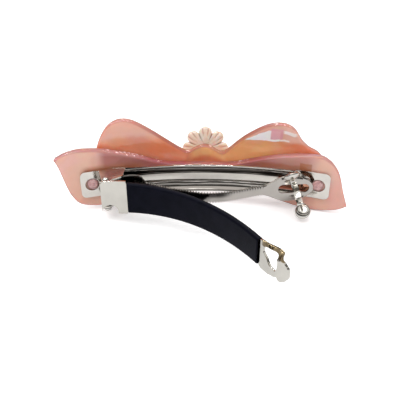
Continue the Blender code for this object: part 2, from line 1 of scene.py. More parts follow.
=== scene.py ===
"""The looks of the ribbon-bow barrette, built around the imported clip.

Lengths are in millimetres, drawn from a point midway between the mounting holes on the plane of
the tabs, until a mesh is made; then they move to the part's own origin, the middle of the base's
hair side, and MM turns them into metres. X runs along the clip, hinge at -X, catch at +X, -Y is the
hair side and +Y the decorative front.
"""

import math

import bmesh
import bpy
from mathutils import Matrix, Vector

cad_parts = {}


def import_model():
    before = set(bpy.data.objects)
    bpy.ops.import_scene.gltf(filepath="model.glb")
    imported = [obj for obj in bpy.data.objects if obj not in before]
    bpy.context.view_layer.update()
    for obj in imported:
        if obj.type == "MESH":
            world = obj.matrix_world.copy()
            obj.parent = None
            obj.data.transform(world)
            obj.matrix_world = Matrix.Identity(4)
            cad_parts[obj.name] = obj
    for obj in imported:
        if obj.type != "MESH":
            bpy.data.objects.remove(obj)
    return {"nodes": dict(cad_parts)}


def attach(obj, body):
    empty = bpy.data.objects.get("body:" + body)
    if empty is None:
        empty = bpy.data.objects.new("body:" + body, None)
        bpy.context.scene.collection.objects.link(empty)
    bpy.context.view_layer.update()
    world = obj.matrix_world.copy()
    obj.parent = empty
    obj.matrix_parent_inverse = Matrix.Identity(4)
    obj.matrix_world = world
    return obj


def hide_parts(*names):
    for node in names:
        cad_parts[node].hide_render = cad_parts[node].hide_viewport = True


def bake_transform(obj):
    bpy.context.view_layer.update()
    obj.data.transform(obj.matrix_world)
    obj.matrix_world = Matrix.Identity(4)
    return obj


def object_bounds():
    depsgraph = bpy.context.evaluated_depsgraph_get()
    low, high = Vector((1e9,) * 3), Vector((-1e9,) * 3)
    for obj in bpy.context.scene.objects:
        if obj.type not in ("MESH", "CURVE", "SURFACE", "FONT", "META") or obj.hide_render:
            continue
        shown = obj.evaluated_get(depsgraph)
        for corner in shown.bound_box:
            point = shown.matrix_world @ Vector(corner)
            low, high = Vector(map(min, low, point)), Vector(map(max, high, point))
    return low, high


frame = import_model()
CAD_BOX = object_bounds()

MM = 0.001
SHARP_ANGLE = math.radians(38)
BODY = "bow_and_base"

# ---- driving dimensions, as on the clip ------------------------------------------------
MOUNT_HALF = 36.5
TAB_END = 40.0
BASE_SAG = 6.0
BASE_RADIUS = (MOUNT_HALF ** 2 + BASE_SAG ** 2) / (2 * BASE_SAG)
STEEL = 0.5
BASE_HALF_WIDTH = 4.85
TAB_HALF_WIDTH = 4.6
LIP_HEIGHT = 1.2
LIP_END = 30.6
LIP_RUN_OUT_HINGE = 10.6
LIP_RUN_OUT_CATCH = 2.0
TAB_CORNER = 1.6
TAB_HOLE = 2.15
BEAD_HEIGHT = 0.28
BASE_FLAT = 1.7
GAP = 0.35

REAR_THICKNESS = 2.8
FRONT_THICKNESS = 2.6
RIM_RADIUS = 0.85
KNOT_BULGE = 4.0
KNOT_HALF_WIDTH = 7.0

PIN_X, PIN_Y = -31.0, -6.0
PIN_RADIUS = 0.7
PIN_HOLE = PIN_RADIUS + 0.3
EAR_NOSE = 1.25
EAR_OUTER = 4.8
EAR_HOLE = 0.75
PEEN_RADIUS = 1.15
LOWER_PEEN = 1.9           # the pin's lower end stands out this many times further
LOWER_PEEN_WIDTH = 1.15

ARM_Z = -0.4
ARM_OFFSET = 2.0
ARM_HEEL = 1.4
ARM_PLATE_END = 6.6
LUG_RADIUS = 1.55
LUG_OUTER = 2.8
SLEEVE_END = 57.0
ARM_END = 68.6
ARM_STEEL = 0.7
SLEEVE_THICKNESS = 2.0
SLEEVE_WALL = 0.45
PLATE_HALF_WIDTH = 5.75
HEEL_TAPER = 0.9
SLEEVE_HALF_WIDTH = 5.25
SLEEVE_TAPER = 1.15
NOTCH = (1.2, -5.1)        # middle of the round notch in the hinge plate, in (s, z)
NOTCH_RADIUS = 2.5
ARM_HEADING = -5.5         # degrees below +X at the pin
ARM_TURN = 1.6             # degrees per millimetre, easing off along the arm
ARM_EASE = 0.0078

# The ring's outlines are points (s along the arm from the pin, z across it); the opening is closed.
RING_OPENING = ((62.0, 3.45), (60.0, 3.4), (59.0, 2.6), (58.9, 1.2), (60.4, 0.2), (61.9, -1.2),
                (64.3, -1.45), (65.3, -0.2), (65.4, 2.2), (64.4, 3.35), (62.0, 3.45))
RING_TOP = ((57.0, 4.1), (58.6, 4.5), (64.6, 4.5), (66.0, 3.7), (67.2, 3.1), (68.1, 2.2), (68.6, 1.0))
RING_LOW = ((57.0, -4.1), (58.2, -4.5), (61.0, -4.3), (63.6, -3.5), (65.6, -2.6), (65.9, -3.1), (66.6, -3.4),
            (67.5, -3.0), (68.2, -2.0), (68.6, -0.9))
RING_FOLD_START = 2.7      # above this the ring's upper side folds back towards the base
RING_FOLD = 1.15
RING_FOLD_IN = (59.0, 63.6)     # where along the arm the fold begins and is full
RING_FOLD_OUT = (65.0, 67.2)    # and where it fades again
RING_FOLD_TUCK = 0.25
CURL_START = 64.5
CURL = 0.09

BAR_STEEL = 0.35
BAR_HALF_WIDTH = 1.7
EYE_RADIUS = 1.32

CATCH_X = 29.0
CATCH_TILT = math.radians(-20)


def depth(x):
    """Y of the middle of the base's steel at x: a circular arc through the mounting holes."""
    return BASE_SAG - (BASE_RADIUS - math.sqrt(BASE_RADIUS ** 2 - x * x))


ORIGIN_Y = depth(BASE_FLAT) - STEEL / 2


def step(value, low, high):
    """0 below low, 1 above high, and a smooth step between."""
    share = min(max((value - low) / (high - low), 0.0), 1.0)
    return share * share * (3 - 2 * share)


# ---- node materials --------------------------------------------------------------------
def new_material(name):
    mat = bpy.data.materials.new(name)
    mat.use_nodes = True
    return mat, mat.node_tree, mat.node_tree.nodes["Principled BSDF"]


def node(tree, kind, inputs=None, **settings):
    """A shader node with its settings, and its inputs given as values or as sockets to link."""
    made = tree.nodes.new(kind)
    for key, value in settings.items():
        setattr(made, key, value)
    set_inputs(tree, made, inputs or {})
    return made


def set_inputs(tree, made, values):
    """Gives a shader node's inputs their values, or links the sockets that feed them."""
    for key, value in values.items():
        if isinstance(value, bpy.types.NodeSocket):
            tree.links.new(value, made.inputs[key])
        else:
            made.inputs[key].default_value = value


def ramp(tree, factor, stops):
    """A colour ramp from (place, colour) stops."""
    made = node(tree, "ShaderNodeValToRGB", {"Fac": factor})
    elements = made.color_ramp.elements
    while len(elements) < len(stops):
        elements.new(0.5)
    for element, (place, colour) in zip(elements, stops):
        element.position = place
        element.color = (*colour, 1.0)
    return made.outputs["Color"]


def mix(tree, factor, a, b):
    """Colour a turning into b as factor goes from 0 to 1."""
    made = tree.nodes.new("ShaderNodeMix")
    made.data_type = "RGBA"
    for socket, value in ((made.inputs[0], factor), (made.inputs[6], a), (made.inputs[7], b)):
        if isinstance(value, bpy.types.NodeSocket):
            tree.links.new(value, socket)
        elif socket.type == "RGBA":
            socket.default_value = (*value, 1.0)
        else:
            socket.default_value = value
    return made.outputs[2]


def maths(tree, operation, a, b=0.0, clamp=False):
    made = node(tree, "ShaderNodeMath", operation=operation, use_clamp=clamp)
    for socket, value in zip(made.inputs, (a, b)):
        if isinstance(value, bpy.types.NodeSocket):
            tree.links.new(value, socket)
        else:
            socket.default_value = value
    return made.outputs[0]


def millimetres(tree):
    """The piece's own coordinates, in millimetres."""
    place = tree.nodes.new("ShaderNodeTexCoord").outputs["Object"]
    scaled = node(tree, "ShaderNodeVectorMath", {0: place}, operation="SCALE")
    scaled.inputs["Scale"].default_value = 1 / MM
    return scaled.outputs["Vector"]


def noise(tree, place, scale, detail=3.0, rough=0.5, distortion=0.0):
    inputs = {"Vector": place, "Scale": scale, "Detail": detail, "Roughness": rough, "Distortion": distortion}
    return node(tree, "ShaderNodeTexNoise", inputs).outputs["Fac"]


def map_range(tree, value, low, high, to_low=0.0, to_high=1.0):
    inputs = {"Value": value, "From Min": low, "From Max": high, "To Min": to_low, "To Max": to_high}
    return node(tree, "ShaderNodeMapRange", inputs).outputs["Result"]


def bump(tree, height, strength, distance):
    inputs = {"Height": height, "Strength": strength, "Distance": distance * MM}
    return node(tree, "ShaderNodeBump", inputs).outputs["Normal"]


def band(tree, value, start, full, end=None, gone=None):
    """1 between full and end, fading to 0 at start and gone; open above when end is left out."""
    inputs = {"Value": value, "From Min": start, "From Max": full}
    rise = node(tree, "ShaderNodeMapRange", inputs, interpolation_type="SMOOTHSTEP")
    if end is None:
        return rise.outputs["Result"]
    inputs = {"Value": value, "From Min": end, "From Max": gone, "To Min": 1.0, "To Max": 0.0}
    fall = node(tree, "ShaderNodeMapRange", inputs, interpolation_type="SMOOTHSTEP")
    return maths(tree, "MULTIPLY", rise.outputs["Result"], fall.outputs["Result"])


def acetate(name, light, deep, low, high, rim_colour, waist_rim_shade, painted_light_patches=(), rim_share=1.0,
            glints=(), glint_floor=0.0):
    """Polished translucent acetate, deeper below, with mauve cut edges and a dark glancing outline.

    patches are painted shade, glow and reflections, each (colour, strength, x band, lower edge,
    upper edge), where an edge is (from, to, slope along x). glints are x ranges where a painted
    glint glows on the rim above glint_floor.
    """
    mat, tree, shader = new_material(name)
    place = millimetres(tree)
    parts = node(tree, "ShaderNodeSeparateXYZ", {0: place})
    height, along = parts.outputs["Z"], parts.outputs["X"]
    swirl = noise(tree, place, 0.07, detail=4.0, distortion=1.6)
    cloud = noise(tree, place, 0.22, detail=2.0, distortion=0.6)
    # Paler above and deeper orange below: painted shading.
    body = mix(tree, map_range(tree, height, low, high), deep, light)
    body = mix(tree, map_range(tree, swirl, 0.45, 0.75, 0.0, 0.3), body, (0.84, 0.56, 0.50))
    body = mix(tree, map_range(tree, cloud, 0.3, 0.8, 0.0, 0.12), body, (0.90, 0.60, 0.50))
    ripple = maths(tree, "MULTIPLY", maths(tree, "SUBTRACT", noise(tree, place, 0.3, detail=3.0), 0.5), 1.2)
    level = maths(tree, "ADD", height, ripple)
    # Each patch is painted light: shade, glow and reflections laid into the colour.
    for colour, strength, across, *edges in painted_light_patches:
        area = band(tree, along, *across)
        for start, full, slope in edges:
            over = maths(tree, "SUBTRACT", level, maths(tree, "MULTIPLY", along, slope))
            area = maths(tree, "MULTIPLY", area, band(tree, over, start, full))
        body = mix(tree, maths(tree, "MULTIPLY", area, strength), body, colour)
    rim = node(tree, "ShaderNodeAttribute", attribute_name="rim").outputs["Fac"]
    # The rim colour is painted darker in the narrow middle of the bow, as shade.
    edge = mix(tree, band(tree, maths(tree, "ABSOLUTE", along), 14.0, 27.0), waist_rim_shade, rim_colour)
    body = mix(tree, maths(tree, "MULTIPLY", rim, rim_share), body, edge)
    glance = node(tree, "ShaderNodeLayerWeight", {"Blend": 0.28}).outputs["Facing"]
    outline = maths(tree, "POWER", glance, 2.6)
    body = mix(tree, maths(tree, "MULTIPLY", outline, 0.85), body, (0.23, 0.085, 0.095))
    # Painted glints: small emissive sparkles along the rim, only in the given x ranges.
    flicker = node(tree, "ShaderNodeMapping", {"Vector": place, "Scale": (0.75, 2.2, 2.2)}).outputs["Vector"]
    spark = band(tree, noise(tree, flicker, 1.0, detail=3.0, rough=0.7), 0.57, 0.62)
    spark = maths(tree, "MULTIPLY", spark, band(tree, rim, 0.85, 0.97))
    spark = maths(tree, "MULTIPLY", spark, band(tree, height, glint_floor, glint_floor + 0.5))
    shine = 0.0
    for low_x, high_x in glints:
        shine = maths(tree, "ADD", band(tree, along, low_x, low_x + 0.8, high_x - 0.8, high_x), shine)
    spark = maths(tree, "MULTIPLY", spark, shine, clamp=True)
    polish = map_range(tree, noise(tree, place, 1.4, detail=4.0), 0.3, 0.8, 0.05, 0.13)
    film = map_range(tree, swirl, 0.3, 0.7, 260.0, 520.0)
    waves = noise(tree, place, 0.35, detail=1.0)
    set_inputs(tree, shader, {
        "Base Color": body,
        "Roughness": polish,
        "IOR": 1.5,
        "Subsurface Weight": 0.6,
        "Subsurface Radius": (1.0, 0.36, 0.26),
        "Subsurface Scale": 1.2 * MM,
        "Coat Weight": maths(tree, "SUBTRACT", 0.7, maths(tree, "MULTIPLY", rim, 0.6)),
        "Specular IOR Level": maths(tree, "SUBTRACT", 0.5, maths(tree, "MULTIPLY", rim, 0.35)),
        "Coat Roughness": 0.03,
        "Thin Film Thickness": film,
        "Thin Film IOR": 1.38,
        "Emission Color": (1.0, 0.97, 0.97, 1.0),
        "Emission Strength": maths(tree, "MULTIPLY", spark, 0.75),
        "Normal": bump(tree, waves, 0.5, 0.35),
    })
    return mat


def resin():
    """Clear peach moulding resin, a little cloudy."""
    mat, tree, shader = new_material("peach_resin")
    place = millimetres(tree)
    cloud = noise(tree, place, 0.5, detail=3.0, distortion=0.8)
    body = mix(tree, map_range(tree, cloud, 0.3, 0.7), (1.0, 0.74, 0.58), (1.0, 0.90, 0.80))
    flute = node(tree, "ShaderNodeAttribute", attribute_name="flute").outputs["Fac"]
    # Darker in the flutes: painted shade in the grooves.
    body = mix(tree, map_range(tree, flute, 0.6, 1.0, 0.0, 0.6), body, (0.42, 0.19, 0.12))
    glance = node(tree, "ShaderNodeLayerWeight", {"Blend": 0.35}).outputs["Facing"]
    body = mix(tree, maths(tree, "POWER", glance, 2.0), body, (0.30, 0.15, 0.12))
    set_inputs(tree, shader, {
        "Base Color": body,
        "Roughness": map_range(tree, noise(tree, place, 2.0), 0.3, 0.7, 0.06, 0.14),
        "IOR": 1.5,
        "Transmission Weight": 0.12,
        "Subsurface Weight": 0.6,
        "Subsurface Radius": (1.0, 0.5, 0.35),
        "Subsurface Scale": 1.6 * MM,
        "Coat Weight": 0.4,
        "Coat Roughness": 0.05,
    })
    return mat


def melted():
    """Acetate melted over and wiped flat: dusty pink, mottled and uneven."""
    mat, tree, shader = new_material("melted_acetate")
    place = millimetres(tree)
    blotch = noise(tree, place, 1.3, detail=5.0, rough=0.65, distortion=0.7)
    body = ramp(tree, blotch, ((0.3, (0.36, 0.17, 0.17)), (0.5, (0.58, 0.33, 0.32)),
                               (0.72, (0.76, 0.55, 0.53))))
    set_inputs(tree, shader, {
        "Base Color": body,
        "Roughness": map_range(tree, blotch, 0.3, 0.7, 0.25, 0.5),
        "Subsurface Weight": 0.3,
        "Subsurface Radius": (1.0, 0.4, 0.3),
        "Subsurface Scale": 1.0 * MM,
        "Coat Weight": 0.3,
        "Normal": bump(tree, blotch, 0.7, 0.3),
    })
    return mat


def nickel(name, tint, waviness, reflection_streaks=(), room_reflection=None, acetate_reflection=None):
    """Bright nickel plate: slight warm tint, faint draw lines and soft waves in the pressed sheet.

    A point attribute named dark marks painted black: the sleeve's reflection, and shade. streaks are painted
    dark reflected bands along the sheet, each (height, half width, strength). murky is a painted
    reflection of the room on an upturned side, in place of the table: (beyond this -Y, above this height).
    acetate_reflection is a painted reflection of the acetate: (x band, height band, colour).
    """
    mat, tree, shader = new_material(name)
    place = millimetres(tree)
    drawn = node(tree, "ShaderNodeMapping", {"Vector": place, "Scale": (0.15, 2.5, 2.5)})
    lines = noise(tree, drawn.outputs["Vector"], 1.0, detail=4.0, rough=0.6)
    cloud = noise(tree, place, 0.35, detail=2.0)
    body = mix(tree, map_range(tree, cloud, 0.3, 0.75, 0.0, 0.5), tint, tuple(0.84 * c for c in tint))
    stretched = node(tree, "ShaderNodeMapping", {"Vector": place, "Scale": (0.07, 0.6, 0.6)})
    drift = noise(tree, stretched.outputs["Vector"], 1.0, detail=3.0, distortion=0.4)
    drift = maths(tree, "SUBTRACT", drift, 0.5)
    parts = node(tree, "ShaderNodeSeparateXYZ", {0: place})
    height, aside = parts.outputs["Z"], maths(tree, "ABSOLUTE", parts.outputs["X"])
    inner = map_range(tree, aside, LIP_END, LIP_END - 2.0)
    wandering = maths(tree, "ADD", height, maths(tree, "MULTIPLY", drift, 1.5))
    # Painted dark reflected bands.
    for level, half, strength in reflection_streaks:
        away = maths(tree, "ABSOLUTE", maths(tree, "SUBTRACT", wandering, level))
        stripe = map_range(tree, away, half * 1.25, half * 0.55, 0.0, strength)
        body = mix(tree, maths(tree, "MULTIPLY", stripe, inner), body, (0.035, 0.028, 0.024))
    # Painted reflection of the acetate.
    if acetate_reflection:
        across, heights, colour = acetate_reflection
        area = maths(tree, "MULTIPLY", band(tree, parts.outputs["X"], *across),
                     band(tree, height, *heights))
        body = mix(tree, area, body, colour)
    # Painted reflection of a dim room on an upturned side.
    if room_reflection:
        reach, above = room_reflection
        area = maths(tree, "MULTIPLY", band(tree, parts.outputs["Y"], reach, reach - 1.0),
                     band(tree, height, above, above + 0.25))
        room = mix(tree, map_range(tree, cloud, 0.35, 0.65), (0.30, 0.235, 0.14), (0.10, 0.075, 0.045))
        body = mix(tree, area, body, room)
    # Painted black: the sleeve's reflection, and shade.
    dark = node(tree, "ShaderNodeAttribute", attribute_name="dark").outputs["Fac"]
    body = mix(tree, dark, body, (0.012, 0.011, 0.012))
    set_inputs(tree, shader, {
        "Base Color": body,
        "Metallic": 1.0,
        "Roughness": map_range(tree, lines, 0.25, 0.8, 0.05, 0.17),
        "Specular Tint": mix(tree, dark, (1.0, 1.0, 1.0), (0.05, 0.05, 0.05)),
        "Normal": bump(tree, mix(tree, 0.3, cloud, lines), waviness, 0.2),
    })
    return mat


def sleeve_material():
    """Smooth black sleeve with a fine pressed grain and a faint blue cast."""
    mat, tree, shader = new_material("black_sleeve")
    place = millimetres(tree)
    cells = node(tree, "ShaderNodeTexVoronoi", {"Vector": place, "Scale": 2.6}, feature="F1")
    grain = maths(tree, "ADD", cells.outputs["Distance"], noise(tree, place, 5.0, detail=3.0))
    wear = noise(tree, place, 0.25, detail=3.0, distortion=0.5)
    body = mix(tree, map_range(tree, wear, 0.35, 0.75), (0.0010, 0.0012, 0.0040), (0.0035, 0.0035, 0.0085))
    set_inputs(tree, shader, {
        "Base Color": body,
        "Roughness": map_range(tree, grain, 0.4, 1.4, 0.42, 0.55),
        "Specular IOR Level": 0.09,
        "Specular Tint": (0.75, 0.8, 1.0, 1.0),
        "Normal": bump(tree, grain, 0.14, 0.12),
    })
    return mat


# ---- meshes ----------------------------------------------------------------------------
def smooth_path(points, count):
    """count points at equal steps along a smooth (Catmull-Rom) curve through the given ones."""
    pts = [Vector(p) for p in points]
    pts = [2 * pts[0] - pts[1], *pts, 2 * pts[-1] - pts[-2]]
    fine, steps = [], 24
    for a, b, c, d in zip(pts, pts[1:], pts[2:], pts[3:]):
        for k in range(steps):
            t = k / steps
            fine.append(0.5 * (2 * b + (c - a) * t + (2 * a - 5 * b + 4 * c - d) * t * t
                               + (3 * b - a - 3 * c + d) * t ** 3))
    fine.append(pts[-2])
    lengths = [0.0]
    for a, b in zip(fine, fine[1:]):
        lengths.append(lengths[-1] + (b - a).length)
    out, i = [], 0
    for k in range(count):
        want = lengths[-1] * k / (count - 1)
        while i < len(fine) - 2 and lengths[i + 1] < want:
            i += 1
        share = (want - lengths[i]) / (lengths[i + 1] - lengths[i])
        out.append(fine[i].lerp(fine[i + 1], share))
    return out


def loft(rings, close_along=False):
    """A bmesh through closed rings of points, each ring with the same number of them."""
    bm = bmesh.new()
    loops = [[bm.verts.new(p) for p in ring] for ring in rings]
    pairs = list(zip(loops, loops[1:]))
    if close_along:
        pairs.append((loops[-1], loops[0]))
    for one, two in pairs:
        for k in range(len(one)):
            n = (k + 1) % len(one)
            bm.faces.new((one[k], one[n], two[n], two[k]))
    if not close_along:
        bm.faces.new(loops[0])
        bm.faces.new(loops[-1])
    return bm


def arc(cx, cy, radius, start, end, steps):
    """Points on a circle from start to end degrees."""
    angles = [math.radians(start + (end - start) * k / steps) for k in range(steps + 1)]
    return [(cx + radius * math.cos(a), cy + radius * math.sin(a)) for a in angles]


def rounded(x0, x1, y0, y1, radius, steps=3):
    """A rounded rectangle's outline."""
    corners = ((x1 - radius, y1 - radius, 0), (x0 + radius, y1 - radius, 90),
               (x0 + radius, y0 + radius, 180), (x1 - radius, y0 + radius, 270))
    points = []
    for x, y, start in corners:
        points += arc(x, y, radius, start, start + 90, steps)
    return points


def prism(outline, low, high, axis="Z"):
    """A flat outline in (x, y) raised along Z, or in (x, z) raised along Y."""
    if axis == "Z":
        return loft([[(x, y, level) for x, y in outline] for level in (low, high)])
    return loft([[(x, level, z) for x, z in outline] for level in (low, high)])


def turned(profile, centre, direction, segments=48):
    """A bmesh turned from (radius, height) points about a line through centre along direction."""
    turn = Vector(direction).to_track_quat("Z", "Y").to_matrix().to_4x4()
    place = Matrix.Translation(Vector(centre)) @ turn
    rings = []
    for radius, height in profile:
        angles = [2 * math.pi * k / segments for k in range(segments)]
        rings.append([place @ Vector((radius * math.cos(a), radius * math.sin(a), height)) for a in angles])
    return loft(rings)


def make(name, bm, mat):
    """Turns a bmesh drawn in millimetres into an object in metres, with its faces pointing out."""
    bmesh.ops.recalc_face_normals(bm, faces=bm.faces)
    if bm.calc_volume(signed=True) < 0:
        bmesh.ops.reverse_faces(bm, faces=bm.faces)
    bmesh.ops.translate(bm, vec=(0, -ORIGIN_Y, 0), verts=bm.verts)
    bmesh.ops.scale(bm, vec=(MM, MM, MM), verts=bm.verts)
    mesh = bpy.data.meshes.new(name)
    bm.to_mesh(mesh)
    bm.free()
    mesh.shade_smooth()
    if mat:
        mesh.materials.append(mat)
    obj = bpy.data.objects.new(name, mesh)
    bpy.context.collection.objects.link(obj)
    return obj


def settle(obj, body, node_name):
    """Puts a piece on its body, in place of the CAD node it shows."""
    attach(obj, body)
    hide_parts(node_name)


def mark(obj, name, values):
    """Stores one value per point, for a material to read."""
    obj.data.attributes.new(name, "FLOAT", "POINT").data.foreach_set("value", values)


def cut(obj, bm, operation="DIFFERENCE"):
    """Cuts or joins obj with a second shape."""
    other = make("cutter", bm, None)
    mod = obj.modifiers.new("Boolean", "BOOLEAN")
    mod.operation = operation
    mod.object = other
    mod.solver = "EXACT"
    apply_modifiers(obj)
    bpy.data.objects.remove(other, do_unlink=True)


def apply_modifiers(obj):
    graph = bpy.context.evaluated_depsgraph_get()
    mesh = bpy.data.meshes.new_from_object(obj.evaluated_get(graph))
    obj.modifiers.clear()
    old = obj.data
    obj.data = mesh
    bpy.data.meshes.remove(old)


def polish_edges(obj, width):
    """Breaks the sharp edges with a small round, then shades the rest smooth."""
    mod = obj.modifiers.new("Bevel", "BEVEL")
    mod.width = width * MM
    mod.segments = 3
    mod.limit_method = "ANGLE"
    mod.angle_limit = math.radians(32)
    mod.use_clamp_overlap = True
    apply_modifiers(obj)
    obj.data.shade_smooth()
    obj.data.set_sharp_from_angle(angle=SHARP_ANGLE)


# ---- acetate sheets --------------------------------------------------------------------
REAR_TOP = ((-47.26, 10.0), (-44.9, 11.1), (-41.8, 11.8), (-38.5, 11.8), (-33.0, 10.9), (-23.0, 8.0),
            (-14.5, 5.1), (-7.0, 4.3), (8.0, 4.3), (15.0, 5.9), (23.3, 8.0), (31.0, 9.3), (36.8, 9.7),
            (39.9, 8.4), (42.1, 5.9), (43.3, 3.0), (44.4, -1.1), (46.02, -6.1))
REAR_BOTTOM = ((-47.26, 10.0), (-46.2, 7.0), (-45.1, 2.2), (-44.3, -1.0), (-43.2, -4.1), (-41.2, -7.0),
               (-37.8, -8.4), (-33.8, -8.8), (-26.0, -7.6), (-14.0, -4.9), (0.0, -4.2), (14.0, -5.2),
               (26.0, -8.4), (34.5, -9.89), (40.6, -9.1), (44.2, -7.7), (46.02, -6.1))
FRONT_TOP = ((-36.4, 2.0), (-35.9, 7.6), (-34.4, 12.8), (-32.2, 16.7), (-29.6, 18.7), (-26.6, 19.19),
             (-22.8, 18.0), (-17.2, 14.4), (-12.3, 10.9), (-8.7, 8.4), (-5.8, 7.0), (-3.0, 7.2),
             (0.0, 7.5), (3.2, 6.7), (5.6, 6.5), (8.3, 8.6), (13.3, 13.3), (18.0, 16.9), (21.1, 18.5),
             (24.2, 19.1), (27.0, 18.4), (29.0, 16.7), (31.2, 13.3), (33.6, 11.0), (36.6, 9.5),
             (38.8, 6.6), (39.4, 2.0))
FRONT_BOTTOM = ((-36.4, 2.0), (-35.0, -3.4), (-29.0, -7.0), (-18.0, -6.4), (-8.0, -4.2), (0.0, -3.8),
                (8.0, -4.3), (18.0, -6.6), (30.0, -7.6), (37.6, -3.6), (39.4, 2.0))
LEFT_LEAN = math.tan(math.radians(5))
RIGHT_LEAN = math.tan(math.radians(20))
LEAN_START = 9.9


def rear_face(x, z):
    return depth(x) + STEEL / 2 + GAP


def front_face(x, z):
    """The loops lie on the rear sheet, bulge forward at the knot and lean above it."""
    lift = max(z - LEAN_START, 0.0)
    lift = lift * lift / (lift + 3.0)
    lean = lift * (LEFT_LEAN * step(-x, 4, 16) - RIGHT_LEAN * step(x, 4, 16))
    knot = KNOT_BULGE * (1 - step(abs(x), 0.8, KNOT_HALF_WIDTH))
    return rear_face(x, z) + REAR_THICKNESS + GAP + lean + knot


def sheet(name, top, bottom, hair_side, thickness, mat, stations=190, rows=16, rim_steps=5):
    """A thick sheet between two outline curves that share both end points, with rounded rims.

    A point attribute named rim is 1 on the cut edge and fades out over the faces beside it.
    """
    rings, rims = [], []
    tops, bottoms = smooth_path(top, stations), smooth_path(bottom, stations)
    quarter = [math.pi / 2 * i / rim_steps for i in range(rim_steps + 1)]
    for k in range(stations):
        t, b = tops[k], bottoms[k]
        if k in (0, stations - 1):
            near = 1 if k == 0 else -2
            spot = t.copy()
            side = ((tops[near] + bottoms[near]) / 2 - spot).normalized() * 0.12
            across = (tops[near] - bottoms[near]).normalized() * 0.12
            t, b = spot + side + across, spot + side - across
        run = t - b
        length = run.length
        r = min(RIM_RADIUS, length * 0.45)
        flat = [r + (length - 2 * r) * i / rows for i in range(rows + 1)]
        loop = [(along, 0.0) for along in flat[:-1]]
        loop += [(length - r + r * math.sin(a), RIM_RADIUS * (1 - math.cos(a))) for a in quarter]
        loop += [(length - r + r * math.cos(a), thickness - RIM_RADIUS * (1 - math.sin(a))) for a in quarter]
        loop += [(along, thickness) for along in flat[-2:0:-1]]
        loop += [(r - r * math.sin(a), thickness - RIM_RADIUS * (1 - math.cos(a))) for a in quarter]
        loop += [(r - r * math.cos(a), RIM_RADIUS * (1 - math.sin(a))) for a in quarter[:-1]]
        edge = min(k, stations - 1 - k) / (stations - 1)
        ring = []
        for along, through in loop:
            p = b + run * (along / length)
            ring.append((p.x, hair_side(p.x, p.y) + through, p.y))
            inside = min(along, length - along)
            rims.append(1 - step(inside, 0.15, 1.0) * step(edge, 0.0, 0.02))
        rings.append(ring)
    obj = make(name, loft(rings), mat)
    mark(obj, "rim", rims)
    return obj


def rear_ribbon(mat):
    obj = sheet("bow_rear_sheet", REAR_TOP, REAR_BOTTOM, rear_face, REAR_THICKNESS, mat)
    settle(obj, BODY, "rear_ribbon")


def front_loops(mat):
    obj = sheet("bow_front_loops", FRONT_TOP, FRONT_BOTTOM, front_face, FRONT_THICKNESS, mat)
    settle(obj, BODY, "front_loops")


# ---- flower ----------------------------------------------------------------------------
FLOWER_Z = 5.0
FLOWER_PETALS = 8
PETAL_REACH = 8.0
PETAL_RADIUS = 2.25
FLOWER_THICKNESS = 2.4


def petal_outline(turn_steps=14):
    """The flower's edge: round petal ends with narrow valleys between them, in (x, z)."""
    outline = []
    half_step = math.pi / FLOWER_PETALS
    valley = (PETAL_REACH - 1.55 * PETAL_RADIUS) * 0.86
    for k in range(FLOWER_PETALS):
        middle = math.pi / 2 + 2 * half_step * k
        centre = Vector((math.cos(middle), math.sin(middle))) * (PETAL_REACH - PETAL_RADIUS)
        start = centre + PETAL_RADIUS * Vector((math.cos(middle - 1.75), math.sin(middle - 1.75)))
        low = valley * Vector((math.cos(middle - half_step), math.sin(middle - half_step)))
        for i in range(5):
            outline.append(low.lerp(start, i / 5))
        for i in range(turn_steps + 1):
            a = middle + 3.5 * (i / turn_steps - 0.5)
            outline.append(centre + PETAL_RADIUS * Vector((math.cos(a), math.sin(a))))
        end = outline[-1]
        low = valley * Vector((math.cos(middle + half_step), math.sin(middle + half_step)))
        for i in range(1, 5):
            outline.append(end.lerp(low, i / 5))
    return outline


def flower(mat):
    """A moulded flower whose petals carry three flutes each, with a domed middle."""
    back = front_face(0, FLOWER_Z) + FRONT_THICKNESS + GAP
    outline = petal_outline()
    steps = ((0.04, 0.0), (0.3, 0.0), (0.55, 0.0), (0.75, 0.02), (0.9, 0.08), (0.97, 0.2), (1.0, 0.45),
             (1.0, 0.7), (0.97, 0.86), (0.9, 0.95), (0.75, 1.0), (0.55, 1.0), (0.42, 0.94), (0.34, 0.98),
             (0.26, 1.16), (0.14, 1.3), (0.04, 1.34))
    rings, flutes = [], []
    for share, level in steps:
        ring = []
        for p in outline:
            angle = math.atan2(p.y, p.x) - math.pi / 2
            flute = 0.5 - 0.5 * math.cos(3 * FLOWER_PETALS * angle)
            sink = 0.3 * flute * step(share, 0.35, 0.7) * (1 if level > 0.5 else -1)
            y = back + FLOWER_THICKNESS / 1.34 * level - sink
            grip = 1 - 0.012 * flute * step(share, 0.8, 1.0)
            # The flute value also drives painted shade in the grooves.
            flutes.append(flute * step(share, 0.35, 0.7) * (0.4 if share > 0.98 else 1.0))
            ring.append((p.x * share * grip, y, FLOWER_Z + p.y * share * grip))
        rings.append(ring)
    obj = make("moulded_flower", loft(rings), mat)
    mark(obj, "flute", flutes)
    settle(obj, BODY, "flower")


def studs(mat):
    """Acetate studs melted over in the mounting holes."""
    for side, label in ((-1, "stud_left"), (1, "stud_right")):
        x = side * MOUNT_HALF
        foot = rear_face(x, 0) + 1.7
        reach = foot + STEEL / 2 + 0.1
        profile = [(1.8, 0.0), (1.8, reach * 0.5), (1.82, reach - 0.25), (1.7, reach - 0.05),
                   (1.4, reach + 0.1), (0.9, reach + 0.19), (0.4, reach + 0.22), (0.05, reach + 0.22)]
        obj = make("melted_" + label, turned(profile, (x, foot, 0), (0, -1, 0)), mat)
        settle(obj, BODY, label)


